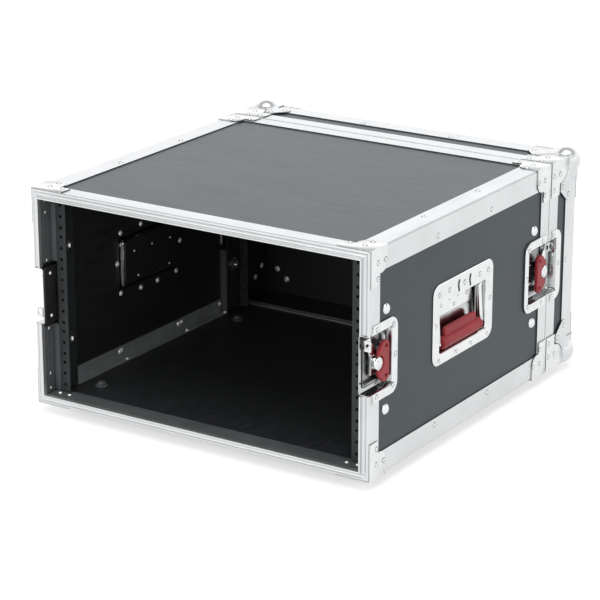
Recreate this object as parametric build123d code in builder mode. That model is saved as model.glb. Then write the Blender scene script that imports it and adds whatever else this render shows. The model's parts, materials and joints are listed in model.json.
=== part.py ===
"""A six-unit rack case: plywood body and rear lid, aluminium edging, steel corners, latches and handles.

Millimetres. X runs across the case, +Y from the open front to the rear lid, +Z up.
The origin is on the ground, at the centre of the case's footprint.
"""

from build123d import *
import os

# ---------------------------------------------------------------- driving dimensions
WIDTH = 525.0  # over the aluminium edging
CASE_HEIGHT = 302.0  # over the edging, without the feet
BODY_DEPTH = 478.0  # front face to the lid seam
LID_DEPTH = 80.0  # lid seam to the rear face
FOOT_HEIGHT = 16.0
PANEL = 9.5  # laminated plywood
SKIN = 1.5  # aluminium edging and steel corner plates
SEAM_GAP = 1.0  # air between the body and the closed lid
HEAD_PROUD = 3.0  # how far the rail bolts' heads stand out
BALL_R = 19.5
BALL_PROUD = 8.5  # how far the ball corners stand out

FRAME_LEG = 25.0  # edging leg that laps over each panel at an opening
FRAME_FACE = 12.5  # width of the edging's face round an opening
WEB = 3.0  # metal behind that face
TONGUE = 4.0  # tongue that locates a lid
GROOVE_DEPTH = 5.0
EDGE_LEG = 31.0  # legs of the long edge angles
LID_LEG = 24.0  # lid edging leg beside the seam
MITRE_GAP = 0.1

RACK_UNIT = 44.45
RACK_UNITS = 6
RAIL_HOLE_SPAN = 465.1  # between the two columns of rack holes
RAIL_OPENING = 449.2  # clear width between the rails
RAIL_WIDTH = 15.9
RAIL_METAL = 2.0
RAIL_SETBACK = 22.0
RAIL_DEPTH = 35.0
RACK_HOLE_R = 2.4
RAIL_BOLT_Z = 66.5  # above and below mid height
RAIL_BOLT_Y = 42.0  # from each end of the body

LATCH_Z = 153.0  # dish centre above the underside of the edging
LATCH_HALF = 38.5  # half height of the recess
LATCH_FLANGE = 51.0  # half height of the flange
LATCH_BODY = 57.0  # recess length in the body
LATCH_LID = 25.0  # recess length in the lid
LATCH_RIM = 11.0  # flange beyond the recess's end
DISH_DEPTH = 14.0
DISH_METAL = 1.2
CAP_OPEN = 28.5  # cap centre to the seam with the latch open
STROKE = 24.0  # travel of the claw
CAP_DROP = -4.0  # cap centre from the dish centre, towards the plain end

HANDLE_Z = 157.0  # dish centre above the underside of the edging
HANDLE_HALF_Y = 80.0
HANDLE_HALF_Z = 55.5
HANDLE_DEPTH = 16.0
POCKET_HALF_Y = 62.0
POCKET_LOW = -40.0
POCKET_HIGH = 28.0
BAIL_R = 3.5
BAIL_HALF = 57.0
BAIL_DROP = 53.0
GRIP_R = 8.5

RIVET_R = 3.2
RIVET_HEIGHT = 1.2
FOOT_X = 210.0
FOOT_Y = 73.0  # from each end of the body

# ---------------------------------------------------------------- derived planes
SIDE = WIDTH / 2
FRONT = -(TONGUE + BODY_DEPTH + LID_DEPTH + BALL_PROUD) / 2 + TONGUE
SEAM = FRONT + BODY_DEPTH
LID_FRONT = SEAM + SEAM_GAP
REAR = SEAM + LID_DEPTH
BASE = FOOT_HEIGHT
TOP = BASE + CASE_HEIGHT
MIDDLE = (BASE + TOP) / 2
FLOOR = BASE + SKIN + PANEL
CEILING = TOP - SKIN - PANEL
WALL = SKIN + PANEL  # from an outer face to the inside
BODY_MIDDLE = (FRONT + SEAM) / 2

os.makedirs("parts", exist_ok=True)


def save(piece, name):
    """Labels a finished piece and writes it."""
    piece.part.label = name
    export_step(piece.part, f"parts/{name}.step")


def block(x, y, z, mode=Mode.ADD):
    """A box between two limits on each axis, in either order."""
    middle = (sum(x) / 2, sum(y) / 2, sum(z) / 2)
    with Locations(middle):
        Box(abs(x[1] - x[0]), abs(y[1] - y[0]), abs(z[1] - z[0]), mode=mode)


def layer(side, near, far):
    """The x limits of a layer between two depths below one side face."""
    return (side * (SIDE - near), side * (SIDE - far))


def level_layer(level, near, far):
    """The z limits of a layer between two depths below the top (+1) or above the underside (-1)."""
    face = TOP if level > 0 else BASE
    return (face - level * near, face - level * far)


def side_plane(side, away, y, z, proud=0.0):
    """On a side face: local x runs along Y towards `away`, local y is up."""
    return Plane(origin=(side * (SIDE + proud), y, z), x_dir=(0, away, 0), z_dir=(away, 0, 0))


def rivets(planes, radius=RIVET_R, height=RIVET_HEIGHT):
    """Domed heads standing on each plane."""
    with Locations(*planes):
        Cone(radius, radius * 0.55, height, align=(Align.CENTER, Align.CENTER, Align.MIN))


def on_side(side, y, z, proud=0.0):
    return Plane(origin=(side * (SIDE + proud), y, z), z_dir=(side, 0, 0))


def on_level(level, x, y, proud=0.0):
    face = TOP if level > 0 else BASE
    return Plane(origin=(x, y, face + level * proud), z_dir=(0, 0, level))


def on_rear(x, z, proud=0.0):
    return Plane(origin=(x, REAR + proud, z), z_dir=(0, 1, 0))


def inside_wall(side, y, z, proud=0.0):
    return Plane(origin=(side * (SIDE - WALL - proud), y, z), z_dir=(-side, 0, 0))


# ---------------------------------------------------------------- panels
latch_z = (BASE + LATCH_Z - LATCH_HALF - 1.5, BASE + LATCH_Z + LATCH_HALF + 1.5)
pocket_z = (BASE + HANDLE_Z + POCKET_LOW - 4.0, BASE + HANDLE_Z + POCKET_HIGH + 4.0)
pocket_y = (BODY_MIDDLE - POCKET_HALF_Y - 4.0, BODY_MIDDLE + POCKET_HALF_Y + 4.0)
rail_bolt_places = [
    (y, MIDDLE + dz)
    for y in (FRONT + RAIL_BOLT_Y, SEAM - RAIL_BOLT_Y)
    for dz in (-RAIL_BOLT_Z, RAIL_BOLT_Z)
]
foot_places = [(x, y) for x in (-FOOT_X, FOOT_X) for y in (FRONT + FOOT_Y, SEAM - FOOT_Y)]
across = (-SIDE + SKIN, SIDE - SKIN)
body_run = (FRONT + WEB, SEAM - WEB)

with BuildPart() as body_top_panel:
    block(across, body_run, level_layer(1, SKIN, WALL))
save(body_top_panel, "body_top_panel")

with BuildPart() as body_bottom_panel:
    block(across, body_run, level_layer(-1, SKIN, WALL))
    with Locations(*[(x, y, FLOOR) for x, y in foot_places]):
        Hole(3.0, depth=PANEL)
save(body_bottom_panel, "body_bottom_panel")

for side, hand in ((-1, "left"), (1, "right")):
    with BuildPart() as body_side_panel:
        wood = layer(side, SKIN, WALL)
        block(wood, body_run, (FLOOR, CEILING))
        block(wood, (FRONT, FRONT + LATCH_BODY + 1.5), latch_z, mode=Mode.SUBTRACT)
        block(wood, (SEAM - LATCH_BODY - 1.5, SEAM), latch_z, mode=Mode.SUBTRACT)
        block(wood, pocket_y, pocket_z, mode=Mode.SUBTRACT)
        with Locations(*[on_side(side, y, z, -WALL) for y, z in rail_bolt_places]):
            Cylinder(4.1, 2 * WALL, mode=Mode.SUBTRACT)
    save(body_side_panel, f"body_{hand}_panel")


# ---------------------------------------------------------------- edging round the openings
def frame_member(inward, origin, length, depth, leg, tongue):
    """One mitred rail of an opening's edging. Local x runs inward from the outer face and local y
    into the panel's depth; the rail has a locating tongue, or the groove that takes it."""
    run = inward.cross(Vector(0, depth, 0))
    with BuildPart() as member:
        with BuildSketch(Plane(origin=origin, x_dir=inward, z_dir=run)):
            with BuildLine():
                Polyline((0, 2), (0, leg), (SKIN, leg), (SKIN, WEB))
                RadiusArc((0, 2), (2, 0), -2)
                if tongue:
                    tip = -TONGUE + 1.25
                    Polyline((SKIN, WEB), (FRAME_FACE, WEB), (FRAME_FACE, tip))
                    ThreePointArc((FRAME_FACE, tip), (FRAME_FACE - 1.25, -TONGUE), (FRAME_FACE - 2.5, tip))
                    Polyline((FRAME_FACE - 2.5, tip), (FRAME_FACE - 2.5, 0), (9, 0))
                    ThreePointArc((9, 0), (6, 1.8), (3, 0))
                    Line((3, 0), (2, 0))
                else:
                    step = WALL - 3.0
                    Polyline(
                        (SKIN, WEB),
                        (step, WEB),
                        (step, GROOVE_DEPTH + WEB),
                        (FRAME_FACE, GROOVE_DEPTH + WEB),
                        (FRAME_FACE, GROOVE_DEPTH),
                        (step + SKIN, GROOVE_DEPTH),
                        (step + SKIN, 0),
                        (2, 0),
                    )
            make_face()
        extrude(amount=length / 2, both=True)
        with BuildSketch(Plane(origin=origin, x_dir=run, z_dir=(0, depth, 0))):
            half = length / 2 - MITRE_GAP
            taper = FRAME_FACE + 2.0
            with BuildLine():
                Polyline((-half, 0), (half, 0), (half - taper, taper), (taper - half, taper), close=True)
            make_face()
        extrude(amount=2 * leg, both=True, mode=Mode.INTERSECT)
        if abs(inward.X) > 0.5:
            reach = (origin[0] - 20, origin[0] + 20)
            span = (origin[1] - 2 * leg, origin[1] + 2 * leg)
            block(reach, span, latch_z, mode=Mode.SUBTRACT)
    return member


def frame_sides(face):
    """Name, inward direction, outer edge point and length of the four rails round an opening."""
    return (
        ("top", Vector(0, 0, -1), (0, face, TOP), WIDTH),
        ("bottom", Vector(0, 0, 1), (0, face, BASE), WIDTH),
        ("left", Vector(1, 0, 0), (-SIDE, face, MIDDLE), CASE_HEIGHT),
        ("right", Vector(-1, 0, 0), (SIDE, face, MIDDLE), CASE_HEIGHT),
    )


for place, inward, origin, length in frame_sides(FRONT):
    save(frame_member(inward, origin, length, 1, FRAME_LEG, True), f"front_frame_{place}")

rear_members = [frame_member(i, o, n, -1, FRAME_LEG, True) for _, i, o, n in frame_sides(SEAM)]
with BuildPart() as rear_frame_rails:
    for member in rear_members:
        add(member.part)
save(rear_frame_rails, "rear_frame_rails")

lid_members = [frame_member(i, o, n, 1, LID_LEG, False) for _, i, o, n in frame_sides(LID_FRONT)]
with BuildPart() as lid_frame_rails:
    for member in lid_members:
        add(member.part)
save(lid_frame_rails, "lid_frame_rails")


# ---------------------------------------------------------------- edge angles
def edge_angle(origin, x_leg, y_leg, length):
    """An angle along the edge through `origin`, with its legs in two directions."""
    leg, rounding = EDGE_LEG, 2.9
    with BuildPart() as angle:
        section = Plane(origin=origin, x_dir=x_leg, z_dir=Vector(*x_leg).cross(Vector(*y_leg)))
        with BuildSketch(section):
            with BuildLine():
                Polyline((rounding, 0), (leg, 0), (leg, SKIN), (SKIN, SKIN))
                Polyline((SKIN, SKIN), (SKIN, leg), (0, leg), (0, rounding))
                RadiusArc((0, rounding), (rounding, 0), -rounding)
            make_face()
        extrude(amount=length / 2, both=True)
    return angle


corners = [(side, level) for level in (1, -1) for side in (-1, 1)]
level_height = {1: TOP, -1: BASE}
level_name = {1: "top", -1: "bottom"}
side_name = {-1: "left", 1: "right"}

body_run_length = BODY_DEPTH - 2 * FRAME_LEG - 2 * MITRE_GAP
for level, place in level_name.items():
    pair = []
    for side in (-1, 1):
        edge = (side * SIDE, BODY_MIDDLE, level_height[level])
        pair.append(edge_angle(edge, (-side, 0, 0), (0, 0, -level), body_run_length))
    with BuildPart() as edge_angles:
        for angle in pair:
            add(angle.part)
    save(edge_angles, f"edge_angles_{place}")

lid_angles = []
rear_edge = REAR - EDGE_LEG - MITRE_GAP
for side, level in corners:
    start = (side * SIDE, (LID_FRONT + LID_LEG + rear_edge) / 2, level_height[level])
    short = rear_edge - LID_FRONT - LID_LEG - MITRE_GAP
    lid_angles.append(edge_angle(start, (-side, 0, 0), (0, 0, -level), short))
for level in (1, -1):
    lid_angles.append(edge_angle((0, REAR, level_height[level]), (0, -1, 0), (0, 0, -level), WIDTH))
for side in (-1, 1):
    tall = CASE_HEIGHT - 2 * EDGE_LEG - 2 * MITRE_GAP
    lid_angles.append(edge_angle((side * SIDE, REAR, MIDDLE), (-side, 0, 0), (0, -1, 0), tall))
with BuildPart() as lid_edge_angles:
    for angle in lid_angles:
        add(angle.part)
save(lid_edge_angles, "lid_edge_angles")

# ---------------------------------------------------------------- lid panels
with BuildPart() as lid_back_panel:
    block(across, (REAR - SKIN - PANEL, REAR - SKIN), (BASE + SKIN, TOP - SKIN))
save(lid_back_panel, "lid_back_panel")

lid_run = (LID_FRONT + GROOVE_DEPTH + WEB, REAR - SKIN - PANEL)
with BuildPart() as lid_rim_panels:
    for level in (1, -1):
        block(across, lid_run, level_layer(level, SKIN, WALL))
    for side in (-1, 1):
        wood = layer(side, SKIN, WALL)
        block(wood, lid_run, (FLOOR + MITRE_GAP, CEILING - MITRE_GAP))
        block(wood, (LID_FRONT, LID_FRONT + LATCH_LID + 1.5), latch_z, mode=Mode.SUBTRACT)
save(lid_rim_panels, "lid_rim_panels")


# ---------------------------------------------------------------- corner braces
def brace_outline(arm, lobe, reach_width):
    """A plate beside an opening: one arm along the case edge, one along the opening's edge, and a
    rounded lobe between them. Local x runs away from the opening and local y away from the edge."""
    reach, arm_width, start = 49.0, 33.0, 1.5
    halfway = 0.7071 * lobe
    with BuildSketch() as plate:
        with BuildLine():
            Polyline((start, reach), (start, -SKIN), (arm, -SKIN), (arm, arm_width - lobe))
            ThreePointArc(
                (arm, arm_width - lobe),
                (arm - lobe + halfway, arm_width - lobe + halfway),
                (arm - lobe, arm_width),
            )
            Polyline((arm - lobe, arm_width), (reach_width, arm_width), (reach_width, reach))
            Line((reach_width, reach), (start, reach))
        make_face()
    return plate.sketch


def face_planes(corner, along, side, level, inward_from_side):
    """The sketch planes of a bent plate's two wings, one on the side face and one on the face above
    or below, each with the outward direction to extrude it in."""
    down = Vector(0, 0, -level)
    return (
        (Plane(origin=corner, x_dir=along, z_dir=Vector(*along).cross(down)), (side, 0, 0)),
        (Plane(origin=corner, x_dir=along, z_dir=Vector(*along).cross(inward_from_side)), (0, 0, level)),
    )


def corner_brace(side, level, y, away, arm, lobe, reach_width):
    """A bent plate over a case corner beside an opening, with one wing on each face."""
    outline = brace_outline(arm, lobe, reach_width)
    corner = (side * SIDE, y, level_height[level])
    with BuildPart() as brace:
        for plane, outward in face_planes(corner, (0, away, 0), side, level, Vector(-side, 0, 0)):
            with BuildSketch(plane):
                add(outline)
            extrude(amount=SKIN, dir=outward)
    return brace


brace_sets = (
    ("front_corner_braces", FRONT, 1, 40.0, 14.0, 21.5),
    ("rear_corner_braces", SEAM, -1, 40.0, 14.0, 21.5),
    ("lid_corner_braces", LID_FRONT, 1, 52.0, 28.0, 25.5),
)
for name, y, away, arm, lobe, reach_width in brace_sets:
    plates = [corner_brace(side, level, y, away, arm, lobe, reach_width) for side, level in corners]
    with BuildPart() as braces:
        for plate in plates:
            add(plate.part)
    save(braces, name)


# ---------------------------------------------------------------- ball corners
FLAP_START = LID_DEPTH - SEAM_GAP - 53.0  # clears the lid brace's lobe
BARE_FROM = 35.0  # the edge beyond the ball is left bare from here
TAB_INNER = 17.0  # the side of a flap's tab next to the rear face


def flap_outline():
    """A ball corner's flap: local x runs forward from the rear face, local y away from the case edge.
    Its hollow flank follows the rounded lobe of the brace beside it, and a rounded tab reaches back
    along the rear edge for the far rivet."""
    centre_x, centre_y = LID_DEPTH - SEAM_GAP - 24.0, 5.0
    radius = 29.0
    edge = 50.0
    meet = centre_y + (radius**2 - (centre_x - edge) ** 2) ** 0.5
    halfway = (centre_x - radius * 0.7071, centre_y + radius * 0.7071)
    with BuildSketch() as flap:
        with BuildLine():
            Polyline((FLAP_START, centre_y), (FLAP_START, -SKIN), (-SKIN, -SKIN), (-SKIN, BARE_FROM))
            Polyline((-SKIN, BARE_FROM), (TAB_INNER, BARE_FROM), (TAB_INNER, 54))
            ThreePointArc((TAB_INNER, 54), (24, 62.8), (32, 61))
            Polyline((32, 61), (edge, 46), (edge, meet))
            ThreePointArc((edge, meet), halfway, (FLAP_START, centre_y))
        make_face()
    return flap.sketch


def rear_flap_outline():
    """The ball corner's flap on the rear face, alike along both edges."""
    with BuildSketch() as flap:
        with BuildLine():
            Polyline((-SKIN, -SKIN), (BARE_FROM, -SKIN), (BARE_FROM, 0), (67, 0), (67, 22), (50, 38))
            Polyline((50, 38), (38, 50), (22, 67), (0, 67), (0, BARE_FROM), (-SKIN, BARE_FROM))
            Line((-SKIN, BARE_FROM), (-SKIN, -SKIN))
        make_face()
    return flap.sketch


side_flap = flap_outline()
rear_flap = rear_flap_outline()
balls = []
for side, level in corners:
    height = level_height[level]
    inset = BALL_R - BALL_PROUD
    vertex = (side * SIDE, REAR, height)
    along = Vector(-side, 0, 0)
    with BuildPart() as ball:
        with Locations((side * (SIDE - inset), REAR - inset, height - level * inset)):
            Sphere(BALL_R)
        for plane, outward in face_planes(vertex, (0, -1, 0), side, level, along):
            with BuildSketch(plane):
                add(side_flap)
            extrude(amount=SKIN, dir=outward)
        with BuildSketch(Plane(origin=vertex, x_dir=along, z_dir=along.cross(Vector(0, 0, -level)))):
            add(rear_flap)
        extrude(amount=SKIN, dir=(0, 1, 0))
        block((0, side * SIDE), (SEAM, REAR), (MIDDLE, height), mode=Mode.SUBTRACT)
    balls.append(ball)
with BuildPart() as ball_corners:
    for ball in balls:
        add(ball.part)
save(ball_corners, "ball_corners")

# ---------------------------------------------------------------- rack rails, packers and their bolts
rail_low = MIDDLE - 137.0
rail_high = MIDDLE + 137.0
unit_hole_offsets = (6.35, 22.225, 38.1)
rack_hole_heights = [
    MIDDLE + (unit - RACK_UNITS / 2) * RACK_UNIT + offset
    for unit in range(RACK_UNITS)
    for offset in unit_hole_offsets
]
rail_edge = RAIL_OPENING / 2 + RAIL_WIDTH
packer = (SIDE - WALL) - rail_edge
RAIL_BOLT_HEAD_R = 7.4
RAIL_BOLT_CROWN_R = 4.2
RAIL_BOLT_R = 4.0
RAIL_BOLT_HOLE_R = 4.1


def rack_rail(side, face, away):
    """One punched angle: the drilled flange faces the opening, the other lies along the case wall."""
    with BuildPart() as rail:
        block(
            (side * RAIL_OPENING / 2, side * rail_edge),
            (face, face + away * RAIL_METAL),
            (rail_low, rail_high),
        )
        block(
            (side * (rail_edge - RAIL_METAL), side * rail_edge),
            (face, face + away * RAIL_DEPTH),
            (rail_low, rail_high),
        )
        column = side * RAIL_HOLE_SPAN / 2
        holes = [Plane(origin=(column, face, z), z_dir=(0, 1, 0)) for z in rack_hole_heights]
        with Locations(*holes):
            Cylinder(RACK_HOLE_R, 3 * RAIL_METAL, mode=Mode.SUBTRACT)
        bolt_y = face + away * (RAIL_BOLT_Y - RAIL_SETBACK)
        bolts = [on_side(side, bolt_y, MIDDLE + dz, -WALL - packer) for dz in (-RAIL_BOLT_Z, RAIL_BOLT_Z)]
        with Locations(*bolts):
            Cylinder(RAIL_BOLT_HOLE_R, 3 * RAIL_METAL, mode=Mode.SUBTRACT)
    return rail


for side, hand in side_name.items():
    save(rack_rail(side, FRONT + RAIL_SETBACK, 1), f"rack_rail_front_{hand}")

rear_pair = [rack_rail(side, SEAM - RAIL_SETBACK, -1) for side in (-1, 1)]
with BuildPart() as rack_rails_rear:
    for rail in rear_pair:
        add(rail.part)
save(rack_rails_rear, "rack_rails_rear")

with BuildPart() as rail_packers:
    for side in (-1, 1):
        for face, away in ((FRONT + RAIL_SETBACK + 1.0, 1), (SEAM - RAIL_SETBACK - 1.0, -1)):
            for z in ((rail_low, latch_z[0] - 5.0), (latch_z[1] + 5.0, rail_high)):
                block(layer(side, WALL, WALL + packer), (face, face + away * (RAIL_DEPTH - 1.0)), z)
        with Locations(*[on_side(side, y, z, -WALL - packer / 2) for y, z in rail_bolt_places]):
            Cylinder(RAIL_BOLT_HOLE_R, 2 * packer, mode=Mode.SUBTRACT)
save(rail_packers, "rail_packers")

stack = WALL - SKIN + packer + RAIL_METAL
on_face = (Align.CENTER, Align.CENTER, Align.MIN)
into_face = (Align.CENTER, Align.CENTER, Align.MAX)
with BuildPart() as rail_fasteners:
    for side in (-1, 1):
        for y, z in rail_bolt_places:
            with Locations(on_side(side, y, z, -SKIN)):
                Cylinder(RAIL_BOLT_HEAD_R, 1.0, align=on_face)
                Cylinder(RAIL_BOLT_R, stack + 8.0, align=into_face)
            with Locations(on_side(side, y, z, -SKIN + 1.0)):
                Cone(RAIL_BOLT_HEAD_R, RAIL_BOLT_CROWN_R, HEAD_PROUD + SKIN - 1.0, align=on_face)
    for side in (-1, 1):
        for y, z in rail_bolt_places:
            with BuildSketch(on_side(side, y, z, -SKIN - stack)):
                RegularPolygon(7.5, 6)
                Circle(RAIL_BOLT_HOLE_R, mode=Mode.SUBTRACT)
            extrude(amount=6.0, dir=(-side, 0, 0))
save(rail_fasteners, "rail_fasteners")

# ---------------------------------------------------------------- inner strips
with BuildPart() as front_liner_strips:
    strip = (FRONT + WEB, FRONT + RAIL_SETBACK - 1.0)
    for side in (-1, 1):
        for z in ((FLOOR + 2.0, latch_z[0] - 5.0), (latch_z[1] + 5.0, CEILING - 2.0)):
            block(layer(side, WALL, FRAME_FACE), strip, z)
            for rib in (8.0, 14.0):
                block(layer(side, FRAME_FACE, FRAME_FACE + 1.0), (FRONT + rib, FRONT + rib + 1.4), z)
    for level in (1, -1):
        deep = (FRONT + WEB, FRONT + 29.0)
        block((2.2 - SIDE + WALL, SIDE - WALL - 2.2), deep, level_layer(level, WALL, FRAME_FACE))
save(front_liner_strips, "front_liner_strips")

with BuildPart() as floor_angle_strips:
    ends = (FRONT + RAIL_SETBACK + RAIL_DEPTH + 3.0, SEAM - RAIL_SETBACK - RAIL_DEPTH - 3.0)
    for side in (-1, 1):
        for level in (1, -1):
            wall_leg = (level_height[level] - level * (WALL + 20.0), level_height[level] - level * WALL)
            block(layer(side, WALL, WALL + SKIN), ends, wall_leg)
            block(layer(side, WALL, WALL + 13.0), ends, level_layer(level, WALL, WALL + SKIN))
save(floor_angle_strips, "floor_angle_strips")

# ---------------------------------------------------------------- feet
with BuildPart() as rubber_feet:
    for x, y in foot_places:
        with Locations((x, y, 0)):
            Cone(17.0, 19.0, FOOT_HEIGHT + SKIN, align=(Align.CENTER, Align.CENTER, Align.MIN))
            Cylinder(3.1, 2 * FOOT_HEIGHT + 10, mode=Mode.SUBTRACT)
        with Locations((x, y, 0)):
            Cylinder(8.0, 7.0, align=(Align.CENTER, Align.CENTER, Align.MIN), mode=Mode.SUBTRACT)
save(rubber_feet, "rubber_feet")

with BuildPart() as foot_fasteners:
    for x, y in foot_places:
        with Locations((x, y, 7.0)):
            Cylinder(3.0, FLOOR - 7.0 + 6.0, align=(Align.CENTER, Align.CENTER, Align.MIN))
            Cylinder(6.0, 3.0, align=(Align.CENTER, Align.CENTER, Align.MAX))
    for x, y in foot_places:
        with BuildSketch(Plane(origin=(x, y, FLOOR))):
            RegularPolygon(6.0, 6)
            Circle(3.1, mode=Mode.SUBTRACT)
        extrude(amount=4.5)
save(foot_fasteners, "foot_fasteners")


# ---------------------------------------------------------------- latches
# A latch is described from its seam: local x runs away from the seam into the body, local y along
# the case's height. The right-hand latches have their hook above the cap, and the left-hand ones,
# being the same part turned over, have it below.
def latch_plane(side, y, away, proud=0.0):
    return side_plane(side, away, y, BASE + LATCH_Z, proud)


def rim_outline(start, end):
    """A dish flange's outline, square at the seam and rounded at its far end."""
    with BuildSketch() as rim:
        with BuildLine():
            edge = FilletPolyline(
                (start, LATCH_FLANGE),
                (end, LATCH_FLANGE),
                (end, -LATCH_FLANGE),
                (start, -LATCH_FLANGE),
                radius=min(15.0, end - start - 1.0),
            )
            Line(edge @ 1, edge @ 0)
        make_face()
    return rim.sketch


def dish_half(side, y, away, length):
    """One half of a latch dish: a pan open towards the seam, with a riveted flange. The flange lies
    over the edging's leg, and beyond the leg its turned-in rim fills the step down to the panel."""
    outward = (side, 0, 0)
    inward = (-side, 0, 0)
    end = length + LATCH_RIM
    flange = rim_outline(8.0, end)
    rim = rim_outline(FRAME_LEG + 0.5, end)
    with BuildPart() as dish:
        with BuildSketch(latch_plane(side, y, away)):
            add(flange)
        extrude(amount=DISH_METAL, dir=outward)
        with BuildSketch(latch_plane(side, y, away)):
            add(rim)
        extrude(amount=SKIN, dir=inward)
        with BuildSketch(latch_plane(side, y, away)):
            with Locations(((length + DISH_METAL) / 2, 0)):
                Rectangle(length + DISH_METAL, 2 * (LATCH_HALF + DISH_METAL))
        extrude(amount=DISH_DEPTH + DISH_METAL, dir=inward)
        with BuildSketch(latch_plane(side, y, away, DISH_METAL)):
            with Locations((length / 2 - 1, 0)):
                Rectangle(length + 2, 2 * LATCH_HALF)
        extrude(amount=DISH_DEPTH + DISH_METAL, dir=inward, mode=Mode.SUBTRACT)
    return dish


for name, y, away, length in (
    ("latch_dishes_front", FRONT, 1, LATCH_BODY),
    ("latch_dishes_rear", SEAM, -1, LATCH_BODY),
    ("lid_latch_dishes", LID_FRONT, 1, LATCH_LID),
):
    halves = [dish_half(side, y, away, length) for side in (-1, 1)]
    with BuildPart() as dishes:
        for half in halves:
            add(half.part)
    save(dishes, name)

# Depths below the outer side face.
BASE_TOP = -DISH_DEPTH + 1.5
CLAW_LOW = -10.5
CLAW_HIGH = -8.5
HINGE_DEPTH = -3.5
WING_HALF = 2.5  # half thickness
WING_REACH = 27.5  # half length along the case's height
SPRING_DEPTH = -9.5
CAP_R = 8.5
STEM_R = 5.0
PIN_R = 1.25

latch_sites = [
    (side, end, y, away, cap)
    for side in (-1, 1)
    for end, y, away, cap in (("front", FRONT, 1, CAP_OPEN), ("rear", SEAM, -1, CAP_OPEN - STROKE))
]

with BuildPart() as latch_bases:
    for side, end, y, away, cap in latch_sites:
        with BuildSketch(latch_plane(side, y, away, -DISH_DEPTH)):
            with Locations((30, 0)):
                RectangleRounded(48, 66, 4)
        extrude(amount=1.5, dir=(side, 0, 0))
        with BuildSketch(latch_plane(side, y, away, BASE_TOP)):
            with Locations((24, -side * 26.0)):
                Rectangle(34, 2.0)
        extrude(amount=5.0, dir=(side, 0, 0))
save(latch_bases, "latch_bases")

with BuildPart() as latch_springs:
    for side, end, y, away, cap in latch_sites:
        spot = latch_plane(side, y, away, SPRING_DEPTH)
        rod = Plane(origin=spot.from_local_coords((49.5, 0, 0)), z_dir=(0, 0, 1))
        with Locations(rod):
            Cylinder(1.2, 52)
        for t in (-23.0, 23.0):
            with Locations(Plane(origin=spot.from_local_coords((49.5, t, 0)), z_dir=(0, 0, 1))):
                Cylinder(2.6, 10)
save(latch_springs, "latch_springs")

with BuildPart() as latch_covers:
    for side, end, y, away, cap in latch_sites:
        back = -(DISH_DEPTH + DISH_METAL)
        with BuildSketch(latch_plane(side, y, away, back)):
            with Locations((LATCH_BODY / 2 + 1.5, 0)):
                Rectangle(LATCH_BODY - 1.0, 2 * LATCH_HALF + 2.0)
        extrude(amount=1.0, dir=(-side, 0, 0))
save(latch_covers, "latch_covers")

for side, end, y, away, cap in latch_sites:
    tag = f"{end}_{side_name[side]}"
    up = side
    cap_t = up * CAP_DROP
    out = (side, 0, 0)

    with BuildPart() as latch_claw:
        with BuildSketch(latch_plane(side, y, away, CLAW_LOW)):
            with Locations((cap, cap_t)):
                RectangleRounded(27, 28, 3)
            with Locations((cap - 17.5, cap_t + up * 29.0)):
                Rectangle(14, 14)
            with BuildLine():
                Polyline(
                    (cap - 12, cap_t + up * 6),
                    (cap + 6, cap_t + up * 12),
                    (cap - 11, cap_t + up * 33),
                    (cap - 17, cap_t + up * 24),
                    close=True,
                )
            make_face()
            with Locations((cap - 17.5, cap_t + up * 29.0)):
                Circle(3.6, mode=Mode.SUBTRACT)
            with Locations((cap, cap_t)):
                Circle(STEM_R + 0.05, mode=Mode.SUBTRACT)
        extrude(amount=CLAW_HIGH - CLAW_LOW, dir=out)
    save(latch_claw, f"latch_claw_{tag}")

    with BuildPart() as latch_cap:
        spot = Plane(origin=latch_plane(side, y, away).from_local_coords((cap, cap_t, 0)), z_dir=out)
        for low, high, radius in ((-12.2, -10.8, 7.5), (-12.2, -8.2, STEM_R), (-8.2, -1.6, CAP_R)):
            with Locations(spot.offset(low)):
                Cylinder(radius, high - low, align=(Align.CENTER, Align.CENTER, Align.MIN))
        with Locations(spot.offset(-1.6)):
            Cone(CAP_R, CAP_R - 1.2, 0.8, align=(Align.CENTER, Align.CENTER, Align.MIN))
        with Locations(Plane(origin=spot.offset(HINGE_DEPTH).origin, z_dir=(0, 0, 1))):
            Cylinder(PIN_R, 32)
    save(latch_cap, f"latch_cap_{tag}")

    with BuildPart() as latch_wing:
        with BuildSketch(latch_plane(side, y, away, HINGE_DEPTH - WING_HALF)):
            with BuildLine():
                FilletPolyline(
                    (cap + 9, cap_t + WING_REACH),
                    (cap + 25, cap_t + WING_REACH),
                    (cap + 25, cap_t - WING_REACH),
                    (cap + 9, cap_t - WING_REACH),
                    (cap, cap_t - 15),
                    (cap, cap_t + 15),
                    radius=9,
                    close=True,
                )
            make_face()
            with Locations((cap, cap_t)):
                Circle(CAP_R + 1.0, mode=Mode.SUBTRACT)
            for t in (-20.0, 20.0):
                with Locations((cap + 16, cap_t + t)):
                    Circle(2.2, mode=Mode.SUBTRACT)
        extrude(amount=2 * WING_HALF, dir=out)
        pivot = latch_plane(side, y, away, HINGE_DEPTH).from_local_coords((cap, cap_t, 0))
        with Locations(Plane(origin=pivot, z_dir=(0, 0, 1))):
            Cylinder(WING_HALF, 34)
            Cylinder(PIN_R + 0.05, 40, mode=Mode.SUBTRACT)
            Cylinder(CAP_R, 2 * (CAP_R + 0.8), mode=Mode.SUBTRACT)
    save(latch_wing, f"latch_wing_{tag}")

with BuildPart() as lid_keepers:
    for side in (-1, 1):
        with BuildSketch(latch_plane(side, LID_FRONT, 1, -DISH_DEPTH)):
            with Locations((12, side * 12.0)):
                RectangleRounded(22, 46, 3)
        extrude(amount=1.5, dir=(side, 0, 0))
        with BuildSketch(latch_plane(side, LID_FRONT, 1, BASE_TOP)):
            with Locations((13, side * 25.0)):
                Circle(3.0)
        extrude(amount=1.5, dir=(side, 0, 0))
save(lid_keepers, "lid_keepers")

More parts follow.
